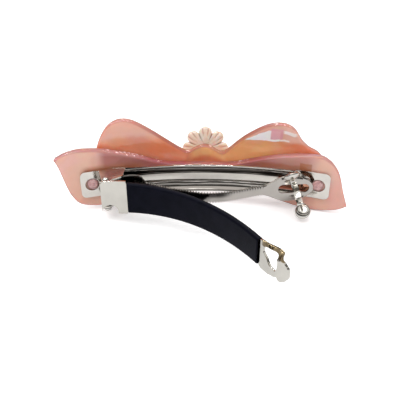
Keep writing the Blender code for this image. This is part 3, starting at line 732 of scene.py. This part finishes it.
# ---- base plate ------------------------------------------------------------------------
def base_ring(x):
    """The base's section at x: a shallow trough, two beads and curled edges, flat over the tabs."""
    channel = step(LIP_END - abs(x), 0.0, LIP_RUN_OUT_HINGE if x < 0 else LIP_RUN_OUT_CATCH)
    half = TAB_HALF_WIDTH + (BASE_HALF_WIDTH - TAB_HALF_WIDTH) * step(31.5 - abs(x), 0.0, 2.0)
    over = abs(x) - (TAB_END - TAB_CORNER)
    if over > 0:
        half = half - TAB_CORNER + math.sqrt(max(TAB_CORNER ** 2 - over ** 2, 0.01))
    shape = []
    count = 40
    for k in range(count + 1):
        share = -1 + 2 * k / count
        lip = LIP_HEIGHT * step(abs(share), 0.62, 0.96)
        bead = BEAD_HEIGHT * (1 - step(abs(abs(share) - 0.32), 0.0, 0.16))
        shape.append((half * share, channel * (lip + bead)))
    middle = depth(x)
    near = [(x, middle - STEEL / 2 - rise, z) for z, rise in shape]
    far = [(x, middle + STEEL / 2 - rise, z) for z, rise in reversed(shape)]
    return near + far


def base_plate(mat):
    ends = [TAB_END - TAB_CORNER * (1 - math.cos(math.radians(a))) for a in range(0, 91, 10)]
    inner = [k * 0.93 for k in range(41)]
    right = inner + ends[::-1]
    xs = sorted({-x for x in right} | set(right))
    plate = make("clip_base", loft([base_ring(x) for x in xs]), mat)
    for side in (-1, 1):
        x = side * MOUNT_HALF
        cut(plate, turned(((TAB_HOLE, -3.0), (TAB_HOLE, 3.0)), (x, depth(x), 0), (0, 1, 0)))
    heel, toe = PIN_X - 3.3, PIN_X + 5.2
    outline = [(heel, depth(heel) + 0.03), (heel + 0.25, depth(heel) - 0.8), (heel + 0.6, depth(heel) - 1.9),
               *arc(PIN_X, PIN_Y, EAR_NOSE, 185, 330, 24),
               (toe - 0.9, -3.95), (toe - 0.5, -3.55), (toe - 0.2, -2.9), (toe, depth(toe) + 0.03)]
    for side in (-1, 1):
        low, high = sorted((side * EAR_OUTER, side * (EAR_OUTER - STEEL)))
        cut(plate, prism(outline, low, high), "UNION")
    cut(plate, turned(((EAR_HOLE, -8.0), (EAR_HOLE, 8.0)), (PIN_X, PIN_Y, 0), (0, 0, 1)))
    polish_edges(plate, 0.1)
    settle(plate, BODY, "base_plate")


def hinge_pin(mat):
    """A plain pin with both ends peened over the ears into domes, the lower one longer and wider."""
    half = EAR_OUTER + 0.85
    flat = EAR_OUTER + 0.12
    dome = [(PEEN_RADIUS * math.cos(math.radians(a)), flat + (half - flat) * math.sin(math.radians(a)))
            for a in range(0, 88, 12)]
    top = [(PIN_RADIUS, 0.0), (PIN_RADIUS, flat), *dome, (0.05, half)]
    low = [(PIN_RADIUS, flat), *((LOWER_PEEN_WIDTH * r, flat + LOWER_PEEN * (h - flat)) for r, h in dome),
           (0.05, flat + LOWER_PEEN * (half - flat))]
    profile = [(r, -h) for r, h in reversed(low)] + top
    obj = make("peened_pin", turned(profile, (PIN_X, PIN_Y, 0), (0, 0, 1)), mat)
    polish_edges(obj, 0.05)
    settle(obj, BODY, "hinge_pin")


# ---- arm -------------------------------------------------------------------------------
def arm_direction(s):
    """The open arm's heading s millimetres along from the pin, below +X, in radians."""
    return math.radians(ARM_HEADING + ARM_TURN * s - ARM_EASE * s * s)


def arm_point(s):
    """The arm's centre line in (x, y), and its direction, s millimetres along from the pin."""
    steps = max(8, int(abs(s) * 2))
    x, y = PIN_X, PIN_Y - ARM_OFFSET
    for k in range(steps):
        angle = arm_direction(s * (k + 0.5) / steps)
        x += math.cos(angle) * s / steps
        y -= math.sin(angle) * s / steps
    return Vector((x, y)), arm_direction(s)


def arm_spot(s, off, z):
    """A point s along the arm, off towards the base from its centre line and z up."""
    p, angle = arm_point(s)
    return (p.x + off * math.sin(angle), p.y + off * math.cos(angle), ARM_Z + z)


def sleeve_half_width(s):
    return SLEEVE_HALF_WIDTH - SLEEVE_TAPER * (s - ARM_PLATE_END) / (SLEEVE_END - ARM_PLATE_END)


def core_half_width(s):
    """Half the steel's width: the hinge plate, then the strap inside the sleeve."""
    if s < ARM_PLATE_END + 0.2:
        return PLATE_HALF_WIDTH - HEEL_TAPER * step(-s, 0.4, ARM_HEEL)
    return sleeve_half_width(s) - SLEEVE_WALL - GAP


def between(stops, s):
    """The value at s between (place, value) stops, eased from one to the next."""
    for (a, low), (b, high) in zip(stops, stops[1:]):
        if s <= b:
            return low + (high - low) * step(s, a, b)
    return stops[-1][1]


def tip_curl(s):
    """How far the finger tip curls back towards the base."""
    return max(s - CURL_START, 0.0) ** 2 * CURL


def arm_ring(s):
    """A section across the steel: flat to the sleeve's end, then the ring with its folded upper side."""
    hidden = ARM_PLATE_END + 0.2 < s < SLEEVE_END - 0.1
    thick = ARM_STEEL - 0.1 if hidden else ARM_STEEL
    half = core_half_width(s)
    low, high = (-half, half) if s < SLEEVE_END else (between(RING_LOW, s), between(RING_TOP, s))
    fold = RING_FOLD * step(s, *RING_FOLD_IN) * (1 - step(s, *RING_FOLD_OUT))
    shape = []
    for k in range(25):
        z = low + (high - low) * k / 24
        past = max(z - RING_FOLD_START, 0.0)
        shape.append((z - RING_FOLD_TUCK * fold * past, tip_curl(s) + fold * past))
    near = [arm_spot(s, off - thick / 2, z) for z, off in shape]
    far = [arm_spot(s, off + thick / 2, z) for z, off in reversed(shape)]
    return near + far


def arm_outline(points, deep=3.0):
    """A cutter through the arm with its outline in (s, z)."""
    return loft([[arm_spot(s, off, z) for s, z in points] for off in (-deep, deep)])


def arm_steel(mat):
    plate = [-ARM_HEEL + 0.15 * k for k in range(10)] + [0.6 * k for k in range(1, 11)]
    ring = [SLEEVE_END + 0.2 + 0.3 * k for k in range(38)]
    stations = plate + [ARM_PLATE_END, ARM_PLATE_END + 0.3]
    stations += [ARM_PLATE_END + 1.8 * k for k in range(1, 28)] + [SLEEVE_END - 0.2, *ring, ARM_END]
    core = make("arm_steel", loft([arm_ring(s) for s in stations]), mat)
    cut(core, arm_outline(smooth_path(RING_OPENING, 60)[:-1], deep=5.0))
    cut(core, arm_outline(arc(*NOTCH, NOTCH_RADIUS, 0, 350, 35)))
    foot = PIN_Y - ARM_OFFSET
    lug = [(-32.2, foot), *arc(PIN_X, PIN_Y, LUG_RADIUS, 150, 30, 20), (-28.6, foot)]
    for side in (-1, 1):
        low, high = sorted((side * LUG_OUTER, side * (LUG_OUTER - STEEL)))
        cut(core, prism(lug, low, high), "UNION")
    cut(core, turned(((PIN_HOLE, -5.0), (PIN_HOLE, 5.0)), (PIN_X, PIN_Y, 0), (0, 0, 1)))
    polish_edges(core, 0.12)
    settle(core, "arm", "arm_core")


def sleeve_loop(s, half, thick):
    """A rounded section of the sleeve, or of the hollow inside it."""
    points = rounded(-half, half, -thick / 2, thick / 2, thick * 0.42, steps=6)
    return [arm_spot(s, off, z) for z, off in points]


def arm_sleeve(mat):
    count = 110
    start, end = ARM_PLATE_END + 0.35, SLEEVE_END - 0.3
    stations = [start + (end - start) * k / (count - 1) for k in range(count)]
    outer = [sleeve_loop(s, sleeve_half_width(s), SLEEVE_THICKNESS) for s in stations]
    hollow = SLEEVE_THICKNESS - 2 * SLEEVE_WALL
    inner = [sleeve_loop(s, sleeve_half_width(s) - SLEEVE_WALL, hollow) for s in reversed(stations)]
    sleeve = make("grip_sleeve", loft(outer + inner, close_along=True), mat)
    polish_edges(sleeve, 0.12)
    settle(sleeve, "arm", "arm_sleeve")


# ---- tension bar -----------------------------------------------------------------------
BAR_PATH = ((-28.9, -5.1), (-28.1, -3.9), (-27.0, -2.5), (-25.4, -1.5), (-23.2, -1.1), (-20.8, -1.4),
            (-17.4, -2.6), (-12.0, -4.9), (-8.0, -6.3), (-2.5, -8.05), (1.0, -8.6), (6.0, -8.0),
            (11.0, -6.4), (16.0, -4.4), (20.0, -3.2), (27.0, -2.1), (34.6, -1.4))
BAR_ROOT_HALF_WIDTH = 4.0
BAR_LEAF_HALF_WIDTH = 4.6
BAR_SLOT = (23.4, 33.4)
BAR_SLOT_HALF = 1.5
BAR_SLOT_CORNER = 1.45
TOOTH = 0.27
TOOTH_PITCH = 0.9
TOOTHED = (-17.8, 18.5)
TOOTH_MARGIN = 0.42
EDGE_CHAMFER = 0.31        # the strip's edges are coined, so they catch the light
LEAF_TIP_START = 27.0
LEAF_TIP_LENGTH = 7.6


def bar_half_width(x):
    """Half the bar's width: a wide root, the narrow strip, then the leaf with its rounded tip."""
    root = (BAR_ROOT_HALF_WIDTH - BAR_HALF_WIDTH) * step(-x, 18.2, 21.2) * (1 - step(-x, 26.6, 28.4))
    leaf = (BAR_LEAF_HALF_WIDTH - BAR_HALF_WIDTH) * step(x, 17.6, 26.0)
    if x < LEAF_TIP_START:
        return BAR_HALF_WIDTH + root + leaf
    share = min((x - LEAF_TIP_START) / LEAF_TIP_LENGTH, 1.0)
    return max(BAR_LEAF_HALF_WIDTH * math.sqrt(1 - (0.97 * share) ** 2), 0.6)


def tension_bar(mat):
    """One bowed spring strip with toothed edges and a slotted leaf, and its eye on the hinge pin.

    The point attribute dark is painted black: the sleeve's reflection on the strip, and shade between its
    teeth.
    """
    count = 620
    points = smooth_path(BAR_PATH, count)
    travelled, rings, darks = 0.0, [], []
    for k, p in enumerate(points):
        before, after = points[max(k - 1, 0)], points[min(k + 1, count - 1)]
        travelled += (p - before).length
        along = (after - before).normalized()
        normal = Vector((-along.y, along.x))
        half = bar_half_width(p.x)
        tooth = 0.0
        if TOOTHED[0] < p.x < TOOTHED[1]:
            tooth = math.sin(2 * math.pi * travelled / TOOTH_PITCH)
        half += TOOTH * tooth
        # Painted shade between the teeth, and the sleeve's painted reflection near the root and along the
        # middle.
        valley = 0.9 * step(-tooth, 0.1, 0.5)
        root = step(-p.x, 16.8, 18.2)
        rising = step(p.x, -12.0, -8.0)
        shade = 0.93 * max(root, 0.97 * rising * (1 - step(p.x, 5.0, 9.5)))
        lower = 0.93 * max(root, 0.97 * rising * (1 - step(p.x, -3.0, 4.0)))
        margin = min(TOOTH_MARGIN, half / 3)
        columns = ((-half, 0.0), (margin - half, 0.0), (-0.2 * half, lower), (half * 0.35, shade),
                   (half - margin, max(shade, valley)), (half, valley))
        ring = []
        for side, row in ((-1, columns), (1, columns[::-1])):
            for z, dark in row:
                chamfer = EDGE_CHAMFER if side < 0 and abs(z) == half else 0.0
                q = p + normal * (side * BAR_STEEL / 2 + chamfer)
                ring.append((q.x, q.y, z))
                darks.append(dark)
        rings.append(ring)
    bar = make("spring_bar", loft(rings), mat)
    mark(bar, "dark", darks)
    slot = rounded(*BAR_SLOT, -BAR_SLOT_HALF, BAR_SLOT_HALF, BAR_SLOT_CORNER, steps=12)
    cut(bar, prism(slot, -8.0, 2.0, axis="Y"))
    eye = make("spring_bar_eye", prism(arc(PIN_X, PIN_Y, EYE_RADIUS, 0, 354, 59), -1.7, 1.7), mat)
    link = [(-30.6, -4.72), (-30.4, -5.1), (-29.2, -5.3), (-28.65, -4.95), (-28.85, -4.7), (-29.3, -4.75)]
    cut(eye, prism(link, -1.65, 1.65), "UNION")
    cut(eye, turned(((PIN_HOLE, -4.0), (PIN_HOLE, 4.0)), (PIN_X, PIN_Y, 0), (0, 0, 1)))
    polish_edges(eye, 0.06)
    bar.data.set_sharp_from_angle(angle=SHARP_ANGLE)
    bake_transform(bar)
    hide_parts("tension_bar_catch_half")
    settle(eye, "bar_hinge_half", "tension_bar_hinge_half")


# ---- catch -----------------------------------------------------------------------------
CATCH_ROOT_Y = 0.9
TAB_RADIUS = 2.5
JAW_HALF_WIDTH = 1.0
JAW_INNER = ((CATCH_ROOT_Y, 0.45), (-3.4, 0.45), (-7.4, 0.85), (-8.0, 1.75), (-8.5, 1.75), (-9.9, 1.0))
JAW_OUTER = ((-10.0, 1.5), (-8.3, 2.45), (-7.85, 2.35), (-7.3, 1.35), (-3.4, 0.95), (CATCH_ROOT_Y, 0.95))
NECK_PATH = ((-3.15, 0.75), (-3.6, 4.7), (-4.4, 5.7))
NECK_POINTS = 25
NECK_HALF_WIDTH = 0.95
NECK_HALF_THICKNESS = 0.24
TAB_PROFILE = ((1.6, -0.35), (2.2, -0.25), (TAB_RADIUS, 0.0), (TAB_RADIUS, 0.2), (2.3, 0.55), (1.9, 0.85),
               (1.3, 1.1), (0.6, 1.22), (0.05, 1.25))


def placed(bm):
    """From the catch's own upright frame to its leaning place on the base."""
    c, s = math.cos(CATCH_TILT), math.sin(CATCH_TILT)
    for v in bm.verts:
        x, y, z = v.co
        v.co = (CATCH_X + c * x + s * z, y, c * z - s * x)
    return bm


def catch_jaw(side, mat):
    """One jaw: a prong with a barb at its tip, and a ribbed neck out to a round, domed pinch tab."""
    label = "upper" if side > 0 else "lower"
    section = [(y, side * z) for y, z in JAW_INNER + JAW_OUTER]
    rings = [[(x, y, z) for y, z in section] for x in (-JAW_HALF_WIDTH, JAW_HALF_WIDTH)]
    jaw = make("pinch_jaw_" + label, placed(loft(rings)), mat)
    path = smooth_path([(y, side * z) for y, z in NECK_PATH], NECK_POINTS)
    lines = []
    for shift in (-NECK_HALF_THICKNESS, NECK_HALF_THICKNESS):
        line = []
        for k, p in enumerate(path):
            run = (path[min(k + 1, NECK_POINTS - 1)] - path[max(k - 1, 0)]).normalized()
            rib = 0.1 * math.sin(2 * math.pi * k / 5) * (1 if 6 < k < 22 else 0)
            line.append(p + Vector((-run.y, run.x)) * (shift + rib))
        lines.append(line)
    neck = lines[0] + lines[1][::-1]
    sides = [[(x, p.x, p.y) for p in neck] for x in (-NECK_HALF_WIDTH, NECK_HALF_WIDTH)]
    cut(jaw, placed(loft(sides)), "UNION")
    run = (path[-1] - path[-5]).normalized()
    centre = path[-1] + run * 1.7
    facing = Vector((0, -side * run.y, side * run.x))
    cut(jaw, placed(turned(TAB_PROFILE, (0, centre.x, centre.y), facing, segments=40)), "UNION")
    polish_edges(jaw, 0.07)
    settle(jaw, "jaw_" + label, "catch_jaw_" + label)


def catch_foot(mat):
    """The catch's riveted foot keeps its own solids and takes the plated finish."""
    for name in ("catch_seat", "catch_rivet"):
        obj = frame["nodes"][name]
        obj.data.materials.clear()
        obj.data.materials.append(mat)


# ---- stage -----------------------------------------------------------------------------
FLOOR_LIFT = 0.38          # the lit tabletop glows through its shadows, seen by the camera only
FLOOR_HALF = 4.0           # metres
FLOOR_DROP = 0.1


def floor():
    """A pale floor just below the ribbon's lowest point."""
    mat, tree, shader = new_material("pale_floor")
    place = tree.nodes.new("ShaderNodeTexCoord").outputs["Object"]
    paper = noise(tree, place, 40.0, detail=3.0)
    seen = tree.nodes.new("ShaderNodeLightPath").outputs["Is Camera Ray"]
    set_inputs(tree, shader, {
        "Base Color": ramp(tree, paper, ((0.3, (0.90, 0.90, 0.90)), (0.7, (0.92, 0.92, 0.92)))),
        "Roughness": 0.6,
        "Specular IOR Level": 0.2,
        "Emission Color": (1.0, 1.0, 1.0, 1.0),
        "Emission Strength": maths(tree, "MULTIPLY", seen, FLOOR_LIFT),
    })
    mesh = bpy.data.meshes.new("floor")
    corners = [(x * FLOOR_HALF, y * FLOOR_HALF, 0) for x, y in ((-1, -1), (1, -1), (1, 1), (-1, 1))]
    mesh.from_pydata(corners, [], [(0, 1, 2, 3)])
    mesh.materials.append(mat)
    obj = bpy.data.objects.new("floor", mesh)
    obj.location = (0, 0, CAD_BOX[0][2] - FLOOR_DROP * MM)
    bpy.context.collection.objects.link(obj)


def world():
    """A white tent of light, with darker bands by height that only polished surfaces mirror."""
    made = bpy.data.worlds.new("tent")
    bpy.context.scene.world = made
    made.use_nodes = True
    tree = made.node_tree
    tree.nodes.clear()
    ray = tree.nodes.new("ShaderNodeLightPath")
    direction = tree.nodes.new("ShaderNodeTexCoord").outputs["Generated"]
    up = node(tree, "ShaderNodeSeparateXYZ", {0: direction}).outputs["Z"]
    waver = noise(tree, direction, 2.2, detail=2.0)
    height = maths(tree, "ADD", up, maths(tree, "MULTIPLY", maths(tree, "SUBTRACT", waver, 0.5), 0.22))
    dark, dim = (0.012, 0.011, 0.010), (0.07, 0.06, 0.05)
    grey, white = (0.5, 0.47, 0.44), (1.15, 1.13, 1.1)
    tent = ramp(tree, height, ((0.0, grey), (0.03, dark), (0.15, dark), (0.19, grey), (0.24, dim),
                               (0.30, dark), (0.36, white), (0.5, grey), (0.54, dark), (0.6, dim),
                               (0.66, white), (1.0, white)))
    colour = mix(tree, ray.outputs["Is Glossy Ray"], (0.86, 0.86, 0.87), tent)
    light = node(tree, "ShaderNodeBackground", {"Color": colour, "Strength": 0.8})
    out = tree.nodes.new("ShaderNodeOutputWorld")
    tree.links.new(light.outputs[0], out.inputs[0])


def lamp(name, kind, energy, location, target=(0, 0, 0), **settings):
    data = bpy.data.lights.new(name, kind)
    data.energy = energy
    for key, value in settings.items():
        setattr(data, key, value)
    obj = bpy.data.objects.new(name, data)
    obj.location = location
    aim = Vector(target) - Vector(location)
    obj.rotation_euler = aim.to_track_quat("-Z", "Y").to_euler()
    bpy.context.collection.objects.link(obj)


SUN_STRENGTH = 1.5
STRIP_RADIANCE = 30.0
STRIPS = (((-0.10, 0.17, 0.30), 0.10, 0.006), ((0.09, 0.15, 0.32), 0.07, 0.006),
          ((0.0, 0.30, 0.26), 0.22, 0.008), ((-0.05, -0.12, 0.36), 0.05, 0.005))


def lights():
    """Soft light from above and in front, and thin bright strips that glint along rims and edges."""
    lamp("overhead", "SUN", SUN_STRENGTH, (-0.15, -0.35, 1.0), angle=math.radians(45))
    for k, (spot, long, wide) in enumerate(STRIPS):
        power = STRIP_RADIANCE * math.pi * long * wide
        lamp(f"strip_{k}", "AREA", power, spot, (0, 0, 0.01), shape="RECTANGLE", size=long, size_y=wide)


CAMERA_AZIMUTH = math.radians(0.8)
CAMERA_ELEVATION = math.radians(30)
CAMERA_DISTANCE = 0.175
CAMERA_FOCAL = 540 / 400       # focal length over picture width
ORIGIN_SHIFT = (5 / 400, 15.2 / 400)    # where the part's origin falls, right of and above the middle


def camera():
    """A close view from the hair side, thirty degrees above the table."""
    a, e = CAMERA_AZIMUTH, CAMERA_ELEVATION
    back = Vector((math.sin(a) * math.cos(e), -math.cos(a) * math.cos(e), math.sin(e)))
    right = Vector((math.cos(a), math.sin(a), 0))
    up = back.cross(right)
    data = bpy.data.cameras.new("camera")
    data.sensor_width = 36
    data.lens = CAMERA_FOCAL * data.sensor_width
    data.clip_start = 0.01
    obj = bpy.data.objects.new("camera", data)
    turn = Matrix((right, up, back)).transposed().to_4x4()
    aside = CAMERA_DISTANCE / CAMERA_FOCAL
    eye = back * CAMERA_DISTANCE - right * (ORIGIN_SHIFT[0] * aside) - up * (ORIGIN_SHIFT[1] * aside)
    eye.y -= ORIGIN_Y * MM
    obj.matrix_world = Matrix.Translation(eye) @ turn
    bpy.context.collection.objects.link(obj)
    bpy.context.scene.camera = obj
    bpy.context.scene.view_settings.view_transform = "Standard"


def main():
    # The second colour is painted shade, for the middle band and the rims beside it.
    rim, waist_shade = (0.53, 0.25, 0.225), (0.36, 0.10, 0.095)
    # Painted light for the acetate: shade, brownish shade and reflections, white highlights and a golden
    # glow.
    shade, painted_brown_shade = (0.40, 0.13, 0.12), (0.46, 0.16, 0.075)
    pale, painted_gold_glow = (1.0, 0.96, 0.93), (0.88, 0.45, 0.18)
    # Rear sheet: painted shade in the narrow middle, behind the loops and beside the clip, and painted
    # brownish shade and reflections.
    rear_painted_light = (
        (waist_shade, 0.9, (-27.0, -17.0, 17.0, 27.0), (1.6, 3.4, 0.0)),
        (shade, 0.8, (-35.4, -31.8, -16.0, -6.0), (2.0, 4.0, 0.0)),
        (painted_brown_shade, 0.8, (-40.5, -37.5, -24.0, -18.0), (0.5, 3.6, 0.0), (6.6, 4.4, 0.0)),
        (shade, 0.5, (8.0, 16.0, 32.0, 38.0), (2.5, 4.5, 0.0)),
        (painted_brown_shade, 0.6, (14.0, 20.0, 31.0, 34.0), (0.0, 2.0, 0.0), (6.2, 5.2, 0.0)),
        (painted_brown_shade, 0.8, (30.3, 30.7, 34.0, 34.4), (-2.0, 2.0, 0.0), (7.0, 6.6, 0.0)),
    )
    # Loops: painted orange and golden glow, and painted white and pink reflections and highlights.
    front_painted_light = (
        ((0.72, 0.27, 0.15), 0.75, (-33.0, -29.0, -22.0, -16.0), (3.0, 5.0, 0.0), (14.6, 12.4, 0.0)),
        ((1.0, 0.60, 0.28), 0.9, (-6.0, -3.5, 5.0, 9.0), (3.0, 5.0, 0.0)),
        (painted_gold_glow, 0.85, (5.0, 8.0, 19.0, 30.0), (3.0, 5.0, 0.0), (15.0, 10.5, 0.0)),
        ((0.88, 0.58, 0.46), 0.7, (24.0, 27.0, 40.0, 41.0), (11.0, 13.5, 0.0)),
        (pale, 1.0, (11.5, 13.0, 23.8, 24.2), (11.8, 12.0, 0.02), (5.0, 4.7, 0.57), (16.6, 16.0, 0.0)),
        (pale, 0.8, (23.8, 24.2, 26.5, 27.5), (11.8, 12.0, 0.02), (12.7, 12.5, 0.02)),
        ((0.80, 0.36, 0.42), 0.85, (20.9, 21.2, 24.6, 25.1), (12.5, 12.8, 0.02), (17.3, 17.0, 0.0)),
        (pale, 0.8, (24.5, 25.5, 28.6, 29.6), (18.9, 19.3, -0.15), (20.6, 20.2, -0.15)),
    )
    # Painted glints along the rims, in these x ranges.
    rear_glints = ((-44.5, -41.5), (-33.0, -20.0), (-17.0, -14.0), (9.0, 14.5))
    rear = acetate("pink_acetate_rear", (0.80, 0.48, 0.385), (0.76, 0.40, 0.31), -6.0, 9.0, rim, waist_shade,
                   rear_painted_light, glints=rear_glints, glint_floor=3.5)
    front_glints = ((-31.0, -29.6), (-27.5, -24.5), (-7.0, -4.0), (-2.5, -0.5), (0.8, 3.0), (21.0, 28.0))
    front = acetate("pink_acetate_front", (0.80, 0.43, 0.33), (0.82, 0.26, 0.12), 11.6, 13.6,
                    (0.56, 0.24, 0.19), (0.38, 0.12, 0.095), front_painted_light, 0.85,
                    glints=front_glints, glint_floor=5.0)
    # Painted reflections on the nickel: dark bands on the plate, the acetate's colour under the bar's slot,
    # and a dim room on the ring's upper side.
    plate = nickel("nickel_plate", (0.72, 0.69, 0.64), 0.10,
                   ((2.5, 0.8, 0.96), (3.55, 0.22, 0.8), (-2.0, 0.42, 0.95), (-3.6, 1.0, 0.9)),
                   acetate_reflection=((23.2, 24.6, 33.0, 34.0), (-3.2, -2.6, 1.6, 2.2), (0.26, 0.085, 0.05)))
    spring = nickel("nickel_spring", (0.66, 0.64, 0.60), 0.04)
    strip = nickel("nickel_strip", (0.47, 0.44, 0.41), 0.05)
    ring_start = arm_spot(SLEEVE_END + 0.8, 0, 0)[1] - ORIGIN_Y
    swing = nickel("nickel_arm", (0.62, 0.60, 0.55), 0.04, room_reflection=(ring_start, RING_FOLD_START + ARM_Z + 0.15))
    foot = nickel("nickel_foot", (0.52, 0.26, 0.17), 0.10)
    rear_ribbon(rear)
    front_loops(front)
    flower(resin())
    studs(melted())
    base_plate(plate)
    hinge_pin(spring)
    arm_steel(swing)
    arm_sleeve(sleeve_material())
    tension_bar(strip)
    catch_jaw(1, spring)
    catch_jaw(-1, spring)
    catch_foot(foot)
    floor()
    world()
    lights()
    camera()


main()
